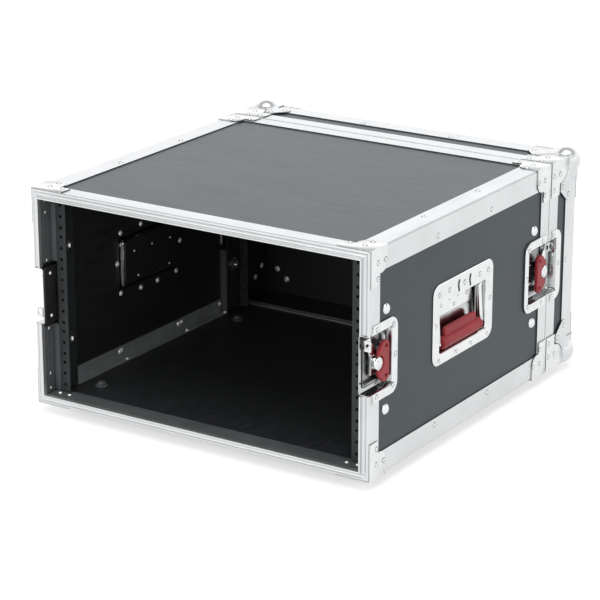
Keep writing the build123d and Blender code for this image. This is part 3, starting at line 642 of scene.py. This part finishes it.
# ---------------------------------------------------------------- rivets
def dome(radius, height):
    """A rivet head: a dimple with the pin's end in it, a dome, and the line where it is seated. The dimple
    and the seat are marked RIM, and take painted shade where the piece's rim material is SHADE.
    """
    mesh = revolve(
        [
            (0, height * 0.80),
            (radius * 0.20, height * 0.82),
            (radius * 0.28, height),
            (radius * 0.5, height * 0.93),
            (radius * 0.72, height * 0.68),
            (radius * 0.88, height * 0.34),
            (radius * 0.95, 0.12),
            (radius * 1.16, 0.06),
            (radius * 1.17, 0),
        ],
        18,
    )
    # Painted shade at the dimple and the seat, through the rim material.
    for face in mesh.polygons:
        spread = Vector(face.center[:2]).length / radius
        face.material_index = RIM if spread < 0.25 or spread > 0.91 else PLAIN
    return mesh


# By default the domes' dimples and seats take SHADE, as painted shade.
def rivet_piece(name, node, body, height, material, grow=1.0, rim=SHADE):
    shapes = {}
    parts = []
    for foot, direction, radius in heads(node):
        key = round(radius, 1)
        if key not in shapes:
            shapes[key] = dome(radius * grow, height)
        parts.append((shapes[key], facing(direction, foot)))
    piece(name, parts, body, material, [node], rim=rim)


rivet_piece("body_rivet_domes", "body_rivets", "case", 1.5, CHROME)
rivet_piece("hardware_rivet_domes", "hardware_rivets", "case", 1.4, CHROME)
rivet_piece("inner_rivet_domes", "inner_rivet_tails", "case", 2.0, RIVET_ZINC, 1.3, RIVET_ZINC)
rivet_piece("lid_rivet_domes", "lid_rivets", "lid", 1.5, CHROME)

# The lid's rivets pass through its panels, and their tails show on the inside of its back and sides.
tails = []
LEDGE = WALL + 6.0  # tails nearer to an edge than this are hidden by the edging inside
for foot, direction, radius in heads("lid_rivets"):
    if abs(direction.z) > 0.5:
        continue
    through_back = abs(direction.y) > 0.5
    outer = REAR if through_back else SIDE
    inside = foot - direction * (foot.dot(direction) - outer + WALL)
    clear_across = abs(inside.x) < SIDE - LEDGE if through_back else inside.y > LID_FRONT + LID_LEG + 4
    if clear_across and BASE + LEDGE < inside.z < TOP - LEDGE:
        tails.append((dome(radius * 1.2, 1.8), facing(-direction, inside)))
piece("lid_rivet_tails", tails, "lid", RIVET_ZINC)


# ---------------------------------------------------------------- rail bolts and foot bolts
def hexagon(radius, first):
    turns = [math.radians(first + 60 * k) for k in range(6)]
    return [(radius * math.cos(a), radius * math.sin(a)) for a in turns]


bolt_heads, nuts = [], []
HEAD_HEIGHT = 4.5
LONGEST_NUT = 10.0  # a longer solid is a bolt
for group in islands("rail_fasteners"):
    low, high = corners_of(group)
    middle = (low + high) / 2
    side = 1 if middle.x > 0 else -1
    reach = abs(high.x - low.x)
    if reach > LONGEST_NUT:
        outer = high.x if side > 0 else low.x
        stem = reach - HEAD_HEIGHT
        profile = [(0, HEAD_HEIGHT), (2.1, 4.35), (4.2, 3.75), (5.9, 2.6), (7.05, 1.2), (7.4, 0.3), (7.4, 0)]
        rod = [(4.0, 0), (4.0, -stem + 1), (3.2, -stem), (0, -stem)]
        spot = (outer - side * HEAD_HEIGHT, middle.y, middle.z)
        bolt_heads.append((revolve(profile + rod, 28), facing((side, 0, 0), spot)))
    else:
        inner = low.x if side > 0 else high.x
        nut = facing((-side, 0, 0), (inner + side * reach, middle.y, middle.z))
        nuts.append((plate([hexagon(7.5, 0), circle(0, 0, 3.9)], reach, 0.7), nut))
        nuts.append((revolve([(10.0, 0), (10.0, 1.0), (9.4, 1.3), (4.0, 1.3)], 24), nut))
piece("rail_bolt_heads", bolt_heads, "case", ZINC, ["rail_fasteners"])
# The nuts' side faces take SHADE, as painted shade.
piece("rail_bolt_nuts", nuts, "case", ZINC, rim=SHADE)

foot_places = [(x, y) for x in (-FOOT_X, FOOT_X) for y in (FRONT + FOOT_Y, SEAM - FOOT_Y)]
foot_bolt = [
    (0, FLOOR + 6), (2.4, FLOOR + 6), (3.0, FLOOR + 5.4), (3.0, 7), (6, 7), (6, 4.6), (5.2, 4), (0, 4),
]
foot_parts = []
for x, y in foot_places:
    foot_parts.append((plate([hexagon(6.0, 15), circle(0, 0, 3.0)], 4.5, 0.6), at(x, y, FLOOR + 1.0)))
    foot_parts.append((revolve([(9.0, 0), (9.0, 0.7), (8.5, 1.0), (3.0, 1.0)], 24), at(x, y, FLOOR)))
    foot_parts.append((revolve(foot_bolt, 20), at(x, y, 0)))
piece("foot_bolts", foot_parts, "case", DARK_STEEL, ["foot_fasteners"])
foot_profile = [
    (3.1, 7.0), (8.0, 7.0), (8.0, 1.0), (9.0, 0.0), (15.5, 0.0), (16.6, 0.6), (17.1, 1.8),
    (18.9, 15.6), (18.4, 16.6), (17.6, 17.4), (3.1, 17.4),
]
foot_rings = [(revolve(foot_profile, 40), at(x, y, 0)) for x, y in foot_places]
piece("moulded_feet", foot_rings, "case", BLACK_RUBBER, ["rubber_feet"])


# ---------------------------------------------------------------- ball corners
def ball_corners():
    """Pressed ball corners: the CAD shapes remeshed, so that each ball flows into its flaps."""
    mesh = nodes["ball_corners"].data.copy()
    holder = bpy.data.objects.new("ball_corner_pressings", mesh)
    bpy.context.scene.collection.objects.link(holder)
    weld = holder.modifiers.new("weld", "WELD")
    weld.merge_threshold = WELD
    remesh = holder.modifiers.new("press", "REMESH")
    remesh.mode = "VOXEL"
    remesh.voxel_size = 0.85 * MM
    relax = holder.modifiers.new("relax", "SMOOTH")
    relax.factor = 0.5
    relax.iterations = 5
    thin = holder.modifiers.new("thin", "DECIMATE")
    thin.ratio = 0.22
    made = applied(holder)
    made.transform(Matrix.Scale(1 / MM, 4))
    # Painted shade: the slanted faces along the flaps' edges are marked RIM and take SHADE.
    for face in made.polygons:
        spot = face.center
        ball_z = TOP - BALL_INSET if spot.z > (TOP + BASE) / 2 else BASE + BALL_INSET
        centre = Vector((math.copysign(SIDE - BALL_INSET, spot.x), REAR - BALL_INSET, ball_z))
        flat = max(abs(c) for c in face.normal) > 0.9
        face.material_index = RIM if (spot - centre).length > BALL_REACH and not flat else PLAIN
    parts = [(made, Matrix.Identity(4))]
    piece("ball_corner_pressings", parts, "lid", CORNER_ZINC, ["ball_corners"], 60, SHADE)


ball_corners()


# ---------------------------------------------------------------- latch dishes
def u_ring(start, end, half, depth, radius):
    """An open ring round a pan that faces the seam, from its top edge to its bottom edge."""
    ends = [(start, half), (end, half), (end, -half), (start, -half)]
    outline = rounded(ends, [0, radius, radius, 0])
    return [(x, y, depth) for x, y in outline]


def latch_dish(length):
    end = length + LATCH_RIM
    corner = min(15.0, end - 9.0)
    rings = [
        u_ring(8.0, end, LATCH_FLANGE, -SKIN, corner),
        u_ring(8.0, end, LATCH_FLANGE, 0.5, corner),
        u_ring(8.2, end - 0.5, LATCH_FLANGE - 0.5, 1.2, corner - 0.5),
        u_ring(8.2, end - 2.5, LATCH_FLANGE - 2.5, 1.5, corner - 2),
        u_ring(8.2, end - 4.0, LATCH_FLANGE - 4.0, 1.2, corner - 3),
        u_ring(8.0, length + 2.2, LATCH_HALF + 2.2, 1.2, 4.2),
        u_ring(1.5, length + 0.9, LATCH_HALF + 0.9, 0.8, 3.4),
        u_ring(0.0, length, LATCH_HALF, -0.6, 3.0),
        u_ring(0.0, length - 0.4, LATCH_HALF - 0.4, -DISH_DEPTH + 2.2, 3.0),
        u_ring(0.0, length - 1.0, LATCH_HALF - 1.0, -DISH_DEPTH + 0.7, 2.6),
        u_ring(0.0, length - 2.4, LATCH_HALF - 2.4, -DISH_DEPTH, 2.0),
    ]
    return thicken(loft(rings, closed=False), 1.1)


# Painted shade: each pan's lip takes SHADE and its recess the darker chrome.
for name, node, y, away, length, body in (
    ("latch_pans_front", "latch_dishes_front", FRONT, 1, LATCH_BODY, "case"),
    ("latch_pans_rear", "latch_dishes_rear", SEAM, -1, LATCH_BODY, "case"),
    ("lid_latch_pans", "lid_latch_dishes", LID_FRONT, 1, LATCH_LID, "lid"),
):
    pan = latch_dish(length)
    parts = [(pan, side_frame(side, away, y, LATCH_Z)) for side, _ in SIDES]
    piece(name, parts, body, CHROME, [node], rim=SHADE)

# ---------------------------------------------------------------- latch mechanisms
BASE_TOP = -DISH_DEPTH + 1.5
CLAW_LOW = -10.5
CLAW_HIGH = -8.5
HINGE_DEPTH = -3.5
WING_HALF = 2.5
PIN_R = 1.25
ROD_R = 1.1
ROD_X = 49.5
ROD_DEPTH = -9.5
SPRING_WIRE = 0.62
EYE_X = -17.5
EYE_Y = 29.0


def coil(radius, length, turns, gauge):
    """A close-wound spring along local y, centred."""
    steps = 12 * turns
    points = [
        (
            radius * math.cos(2 * math.pi * k / 12),
            length * (k / steps - 0.5),
            radius * math.sin(2 * math.pi * k / 12),
        )
        for k in range(steps + 1)
    ]
    return wire(points, gauge, 2)


def rod_y(radius, length, centre=(0, 0, 0)):
    """A round rod along local y with eased ends."""
    h = length / 2
    ease = min(0.5, radius / 3)
    profile = [(0, -h), (radius - ease, -h), (radius, ease - h)]
    profile += [(r, -z) for r, z in reversed(profile)]
    return revolve(profile, 16), at(*centre) @ Matrix.Rotation(math.radians(-90), 4, "X")


def stand(mesh, x, y, z):
    """Turns a plate made in x and y so that it stands facing the seam: its x becomes depth."""
    turn = Matrix(((0, 0, 1, x), (0, 1, 0, y), (1, 0, 0, z), (0, 0, 0, 1)))
    return mesh, turn


base_parts, spring_parts, cover_parts, cover_rivets = [], [], [], []
for side, hand in SIDES:
    for end, y, away in (("front", FRONT, 1), ("rear", SEAM, -1)):
        tag = f"{end}_{hand}"
        site = side_frame(side, away, y, LATCH_Z)
        low, high = box_mm(f"latch_cap_{tag}")
        cap = away * ((low.y + high.y) / 2 - y)
        drop = side * CAP_DROP
        here = site @ at(cap, drop, 0)

        base_parts.append((plate([rectangle(24, 33, 4, (30, 0))], 1.5, 0.3), site @ at(0, 0, -DISH_DEPTH)))
        upstand = plate([rectangle(17, 1.0, 0.6, (24, -side * 26.0))], 5.0, 0.3)
        base_parts.append((upstand, site @ at(0, 0, BASE_TOP)))
        for x, t in ((50, 28), (50, -28), (12, -29 * side)):
            base_parts.append((dome(2.6, 1.3), site @ at(x, t, BASE_TOP)))
        for t in (-14.26, 14.26):
            post = plate([rectangle(3.2, 1.4, 1.0)], 4.5, 0.4)
            base_parts.append((post, site @ at(46.8, t, BASE_TOP)))

        rod, turn = rod_y(ROD_R, 52)
        spring_parts.append((rod, site @ at(ROD_X, 0, ROD_DEPTH) @ turn))
        for t in (-22.5, 22.5):
            spring_parts.append((coil(2.15, 10.5, 8, SPRING_WIRE), site @ at(ROD_X, t, ROD_DEPTH)))
            inner = math.copysign(16.0, t)
            arm = [
                (ROD_X, inner, -7.3),
                (45.0, inner, -7.5),
                (40.0, inner * 0.86, -7.5),
                (37.5, inner * 0.8, -7.3),
            ]
            spring_parts.append((wire(arm, SPRING_WIRE, 2), site))

        back = -(DISH_DEPTH + 1.2)
        outline = rectangle(LATCH_BODY / 2 - 0.5, LATCH_HALF + 1.0, 2.0, (LATCH_BODY / 2 + 1.5, 0))
        cover_parts.append((plate([outline], 1.0, 0.25), site @ at(0, 0, back - 1.0)))
        for x, t in ((14, -30), (14, 30), (44, -30), (44, 30), (47, 0)):
            tail = site @ at(x, t, back - 1.0) @ Matrix.Scale(-1, 4, (0, 0, 1))
            cover_rivets.append((dome(2.4, 1.5), tail))

        # The sliding hook plate, with its turned-up lip, its collar and its upright eye.
        flat = plate([rectangle(13.5, 14, 3), circle(0, 0, 5.05, 28)], 2.0, 0.4)
        collar = revolve([(5.2, 0), (5.3, 1.0), (6.0, 1.5), (7.0, 1.3), (7.6, 0.4), (7.9, 0)], 28)
        arm_points = [(-12, side * 6), (6, side * 11), (-11, side * 33), (-17, side * 24)]
        if side < 0:
            arm_points.reverse()
        tab = rectangle(7, 7, 1.5, (EYE_X, side * EYE_Y))
        claw_parts = [
            (flat, here @ at(0, 0, CLAW_LOW)),
            (plate([rounded(arm_points, 2.0)], 1.9, 0.4), here @ at(0, 0, CLAW_LOW + 0.05)),
            (plate([tab, circle(EYE_X, side * EYE_Y, 3.6)], 2.0, 0.4), here @ at(0, 0, CLAW_LOW)),
            (collar, here @ at(0, 0, CLAW_HIGH - 0.1)),
        ]
        mesh, turn = stand(plate([rectangle(2.1, 13, 1.2)], 1.4, 0.35), -13.5, 0, CLAW_LOW + 2.1)
        claw_parts.append((mesh, here @ turn))
        eye = plate([rectangle(5.6, 7, 1.6), circle(0.4, 0, 3.3)], 1.5, 0.35)
        mesh, turn = stand(eye, EYE_X - 7.0, side * EYE_Y, CLAW_LOW + 5.6)
        claw_parts.append((mesh, here @ turn))
        # The plates' side faces take SHADE, as painted shade.
        stands_for = [f"latch_claw_{tag}"]
        piece(f"hook_plate_{tag}", claw_parts, f"claw_{tag}", CHROME, stands_for, rim=SHADE)

        # The cap: a turned boss with a domed face, four swaged studs and the wing's hinge pin.
        boss = [
            (0, -12.2), (7.2, -12.2), (7.5, -11.9), (7.5, -10.8), (5.0, -10.8), (5.0, -8.2), (8.1, -8.2),
            (8.5, -7.8), (8.5, -2.6), (8.1, -1.9), (7.0, -1.3), (5.0, -0.95), (2.6, -0.8), (2.3, -1.2),
            (0, -1.25),
        ]
        cap_parts = [(revolve(boss, 36), here)]
        for k in range(4):
            turn = math.radians(45 + 90 * k)
            stud = here @ at(4.9 * math.cos(turn), 4.9 * math.sin(turn), -1.1)
            cap_parts.append((dome(1.35, 0.75), stud))
        pin, turn = rod_y(PIN_R, 32, (0, 0, HINGE_DEPTH))
        cap_parts.append((pin, here @ turn))
        # The studs' dimples and seats take SHADE, as painted shade.
        stands_for = [f"latch_cap_{tag}"]
        piece(f"turn_cap_{tag}", cap_parts, f"cap_{tag}", CHROME, stands_for, rim=SHADE)

        # The red butterfly wing: two lobes that hinge on the cap's pin, hollowed round the cap.
        hollow = [math.radians(-60 + 10 * k) for k in range(13)]
        rim = [(9.8 * math.cos(a), 9.8 * math.sin(a)) for a in hollow]
        lower = [(2.6, -9.6), (-3, -15.5), (9.5, -27.5), (23.4, -27.5)]
        upper = [(x, -y) for x, y in reversed(lower)]
        lobes = rounded(lower + upper, [1.5, 4.5, 9, 9, 9, 9, 4.5, 1.5], 8)
        wing_outline = lobes + list(reversed(rim))
        holes = [circle(16, t, 2.3, 16) for t in (-19.5, 19.5)]
        wing_plate = plate([wing_outline, *holes], 2 * WING_HALF, 1.5)
        wing_parts = [(wing_plate, here @ at(0, 0, HINGE_DEPTH - WING_HALF))]
        for t in (-13.2, 13.2):
            barrel, turn = rod_y(WING_HALF, 7.4, (0, t, HINGE_DEPTH))
            wing_parts.append((barrel, here @ turn))
        stands_for = [f"latch_wing_{tag}"]
        piece(f"butterfly_wing_{tag}", wing_parts, f"wing_{tag}", RED_PLASTIC, stands_for)

# Painted shade: the base plates are a darker steel with SHADE on their sides and rivet seats, and the cover
# rivets take SHADE at dimple and seat.
piece("latch_base_plates", base_parts, "case", SHADED_BASE_STEEL, ["latch_bases"], rim=SHADE)
piece("latch_coil_springs", spring_parts, "case", ZINC, ["latch_springs"])
piece("latch_back_covers", cover_parts, "case", COVER_STEEL, ["latch_covers"])
piece("latch_cover_rivets", cover_rivets, "case", RIVET_ZINC, rim=SHADE)


# ---------------------------------------------------------------- handles
def pocket_ring(inset, depth, radius):
    middle = (POCKET_LOW + POCKET_HIGH) / 2
    half = (POCKET_HIGH - POCKET_LOW) / 2
    outline = rectangle(POCKET_HALF_Y - inset, half - inset, radius, (0, middle), 7)
    return [(x, y, depth) for x, y in outline]


def flange_ring(inset, depth):
    outline = rectangle(HANDLE_HALF_Y - inset, HANDLE_HALF_Z - inset, 15 - inset, (0, 0), 7)
    return [(x, y, depth) for x, y in outline]


dish = loft(
    [
        flange_ring(0, -SKIN),
        flange_ring(0, -0.5),
        flange_ring(0.6, 0.1),
        flange_ring(2.2, 0.5),
        flange_ring(4.0, 0.25),
        flange_ring(6.0, 0.0),
        pocket_ring(-2.6, 0.0, 6.0),
        pocket_ring(-1.0, -0.4, 5.0),
        pocket_ring(0.0, -1.8, 4.4),
        pocket_ring(0.5, -HANDLE_DEPTH + 3.0, 4.4),
        pocket_ring(1.3, -HANDLE_DEPTH + 0.9, 4.0),
        pocket_ring(3.2, -HANDLE_DEPTH, 3.0),
    ]
)

for side, hand in SIDES:
    site = side_frame(side, 1, BODY_MIDDLE, HANDLE_Z)
    dish_parts = [(thicken(dish.copy(), PAN_METAL), site)]
    hinge_cover = plate([rectangle(47, 11.5, 2.0, (0, 13.5))], 1.2, 0.4)
    dish_parts.append((hinge_cover, site @ at(0, 0, -HANDLE_DEPTH)))
    for y, z in ((-34, 16), (-11, 20), (11, 20), (34, 16), (0, 9)):
        dish_parts.append((dome(2.3, 1.2), site @ at(y, z, 1.2 - HANDLE_DEPTH)))
    # Painted shade: the pan's lip, the hinge cover's sides and the rivets' seats take SHADE, and the pocket
    # the darker chrome.
    stands_for = [f"handle_dish_{hand}"]
    piece(f"handle_pan_{hand}", dish_parts, "case", CHROME, stands_for, rim=SHADE)

    # The grip: a round bar on the bail's foot, and a fin from it towards the hinge.
    low, high = box_mm(f"handle_bail_{hand}")
    hinge_z = high.z - BAIL_R
    grip_low, grip_high = box_mm(f"handle_grip_{hand}")
    bar_z = grip_low.z + GRIP_R
    bar_x = (grip_low.x + GRIP_R) if side < 0 else (grip_high.x - GRIP_R)
    hinge_x = (high.x - BAIL_R) if side < 0 else (low.x + BAIL_R)
    lean = Vector((bar_x - hinge_x, 0, bar_z - hinge_z)).normalized()
    profile = [(3.4, -51.3), (6.2, -51.5), (7.7, -50.6), (8.4, -48.8), (GRIP_R, -47)]
    profile += [(GRIP_R, -44.0), (8.0, -43.4), (8.0, -42.6), (GRIP_R, -42.0)]
    profile += [(r, -z) for r, z in reversed(profile)]
    bar_spot = (bar_x, BODY_MIDDLE, bar_z)
    bar = (revolve(profile, 32), at(*bar_spot) @ Matrix.Rotation(math.radians(-90), 4, "X"))
    across = Vector((0, 1, 0))
    fin_frame = with_axes(across, lean, lean.cross(across), bar_spot)
    fin = plate([rectangle(42, 9.5, 5.0, (0, -10.0))], 6.0, 2.2)
    parts = [bar, (fin, fin_frame @ at(0, 0, -3.0))]
    stands_for = [f"handle_grip_{hand}"]
    piece(f"moulded_grip_{hand}", parts, f"handle_{hand}", RED_RUBBER, stands_for)

hooks, slot_shade_patches, cover_parts, cover_screws = [], [], [], []
for side, hand in SIDES:
    site = side_frame(side, 1, BODY_MIDDLE, HANDLE_Z)
    for y in (-13.0, 17.0):
        # Painted shade: a flat near-black patch stands in for the dark inside of each spring slot.
        slot_shade_patch = plate([rectangle(2.3, 8.6, 2.2, (y, POCKET_HIGH + 12.5))], 0.5, 0.15)
        slot_shade_patches.append((slot_shade_patch, site @ at(0, 0, -0.28)))
        spring_hook = [
            (y + 1.2, POCKET_HIGH + 19.5, -0.4),
            (y + 1.0, POCKET_HIGH + 18.5, 0.9),
            (y - 1.2, POCKET_HIGH + 15.0, 1.3),
            (y - 0.8, POCKET_HIGH + 10.0, 1.3),
            (y + 0.8, POCKET_HIGH + 7.0, 0.9),
            (y + 1.0, POCKET_HIGH + 5.5, -0.4),
        ]
        hooks.append((wire(spring_hook, 0.75, 3), site))
    back = -(HANDLE_DEPTH + PAN_METAL)
    cover = plate([rectangle(60, 31, 3.0, (0, -4.0))], 1.5, 0.35)
    cover_parts.append((cover, site @ at(0, 0, back - 1.5)))
    for y, z in ((-40, 9), (2, 9), (46, 7), (-31, -29), (43, -31)):
        tail = site @ at(y, z, back - 1.5) @ Matrix.Scale(-1, 4, (0, 0, 1))
        cover_screws.append((dome(1.7, 1.0), tail))
piece("handle_spring_hooks", hooks, "case", CHROME, ["handle_springs"])
piece("handle_slot_painted_shade", slot_shade_patches, "case", SLOT_SHADE)
piece("handle_back_covers", cover_parts, "case", COVER_STEEL, ["handle_covers"])
# The screw heads' dimples and seats take SHADE, as painted shade.
piece("handle_cover_screws", cover_screws, "case", RIVET_ZINC, rim=SHADE)

# ---------------------------------------------------------------- rivet ends on the inner strips
ends = []
inner = SIDE - WALL
STRIP_METAL = 1.5
for side, _ in SIDES:
    wall = side * (inner - STRIP_METAL)
    for z in (TOP - 17, TOP - 34, LATCH_Z + 48, LATCH_Z - 48, BASE + 40, BASE + 19):
        ends.append((dome(2.0, 1.2), facing((-side, 0, 0), (wall, FRONT + 11.0, z))))
    for y in (BODY_MIDDLE - 67, BODY_MIDDLE + 79, SEAM - 62):
        ends.append((dome(3.0, 1.8), facing((-side, 0, 0), (wall, y, FLOOR + 14))))
        ends.append((dome(3.0, 1.8), facing((0, 0, 1), (side * (inner - 9), y + 3, FLOOR + STRIP_METAL))))
    for x in (inner - 14, inner - 30):
        ends.append((dome(2.2, 1.3), facing((0, 0, 1), (side * x, FRONT + 16, FLOOR + STRIP_METAL))))
piece("strip_rivet_ends", ends, "case", RIVET_ZINC)

# ---------------------------------------------------------------- floor, lights and camera
scene = bpy.context.scene
scene.view_settings.view_transform = "Standard"

ground = bpy.data.meshes.new("studio_floor")
FLOOR_REACH = 30.0
signs = ((-1, -1), (1, -1), (1, 1), (-1, 1))
ground.from_pydata([(x * FLOOR_REACH, y * FLOOR_REACH, 0) for x, y in signs], [], [(0, 1, 2, 3)])
floor = bpy.data.objects.new("studio_floor", ground)
scene.collection.objects.link(floor)
paper = Nodes("studio_paper")
paper.link(Base_Color=paper.blend(paper.noise(3, 3), (0.38, 0.38, 0.383), (0.41, 0.41, 0.413)))
paper.fix(Roughness=0.9, Specular_IOR_Level=0.1, Emission_Color=(1.0, 1.0, 1.0, 1.0), Emission_Strength=0.56)
ground.materials.append(paper.material)

world = bpy.data.worlds.new("studio")
scene.world = world
world.use_nodes = True
tree = world.node_tree
backdrop = tree.nodes["Background"]
where = tree.nodes.new("ShaderNodeTexCoord")
split = tree.nodes.new("ShaderNodeSeparateXYZ")
ramp = tree.nodes.new("ShaderNodeValToRGB")
tree.links.new(where.outputs["Generated"], split.inputs[0])
tree.links.new(split.outputs["Z"], ramp.inputs["Fac"])
tree.links.new(ramp.outputs["Color"], backdrop.inputs["Color"])
# By the sine of the height: a bright band above the horizon and a darker sky overhead.
stops = ramp.color_ramp.elements
stops[0].position, stops[0].color = 0.0, (0.66, 0.66, 0.66, 1)
stops[1].position, stops[1].color = 1.0, (0.24, 0.24, 0.243, 1)
for height, tone in ((0.22, 0.88), (0.32, 1.0), (0.52, 0.70), (0.66, 0.32), (0.78, 0.16)):
    stop = stops.new(height)
    stop.color = (tone, tone, tone * 1.01, 1)
backdrop.inputs["Strength"].default_value = 1.66


def soft_light(name, spot, target, size, power):
    data = bpy.data.lights.new(name, "AREA")
    data.shape = "RECTANGLE"
    data.size, data.size_y = size
    data.energy = power
    lamp = bpy.data.objects.new(name, data)
    lamp.location = spot
    lamp.rotation_euler = (Vector(target) - Vector(spot)).to_track_quat("-Z", "Y").to_euler()
    scene.collection.objects.link(lamp)


soft_light("softbox_top", (0.3, -0.2, 2.4), (0, 0, 0.1), (1.1, 1.1), 8)
soft_light("softbox_front", (-0.2, -3.0, 1.7), (0, 0.1, 0.12), (1.3, 0.8), 18)

sun_data = bpy.data.lights.new("overhead", "SUN")
sun_data.energy = 2.3
sun_data.angle = math.radians(50)
sun = bpy.data.objects.new("overhead", sun_data)
sun.rotation_euler = (math.radians(14), math.radians(8), 0)
scene.collection.objects.link(sun)

CAMERA_SPOT = (1.71035, -2.68182, 1.19490)
AZIMUTH = 0.573  # radians from the front towards the right side
ELEVATION = 0.323  # radians above the level
LENS = 145.19
camera_data = bpy.data.cameras.new("camera")
camera_data.sensor_width = 36.0
camera_data.lens = LENS
camera = bpy.data.objects.new("camera", camera_data)
camera.location = CAMERA_SPOT
level = math.cos(ELEVATION)
look = Vector((-math.sin(AZIMUTH) * level, math.cos(AZIMUTH) * level, -math.sin(ELEVATION)))
camera.rotation_euler = look.to_track_quat("-Z", "Y").to_euler()
scene.collection.objects.link(camera)
scene.camera = camera
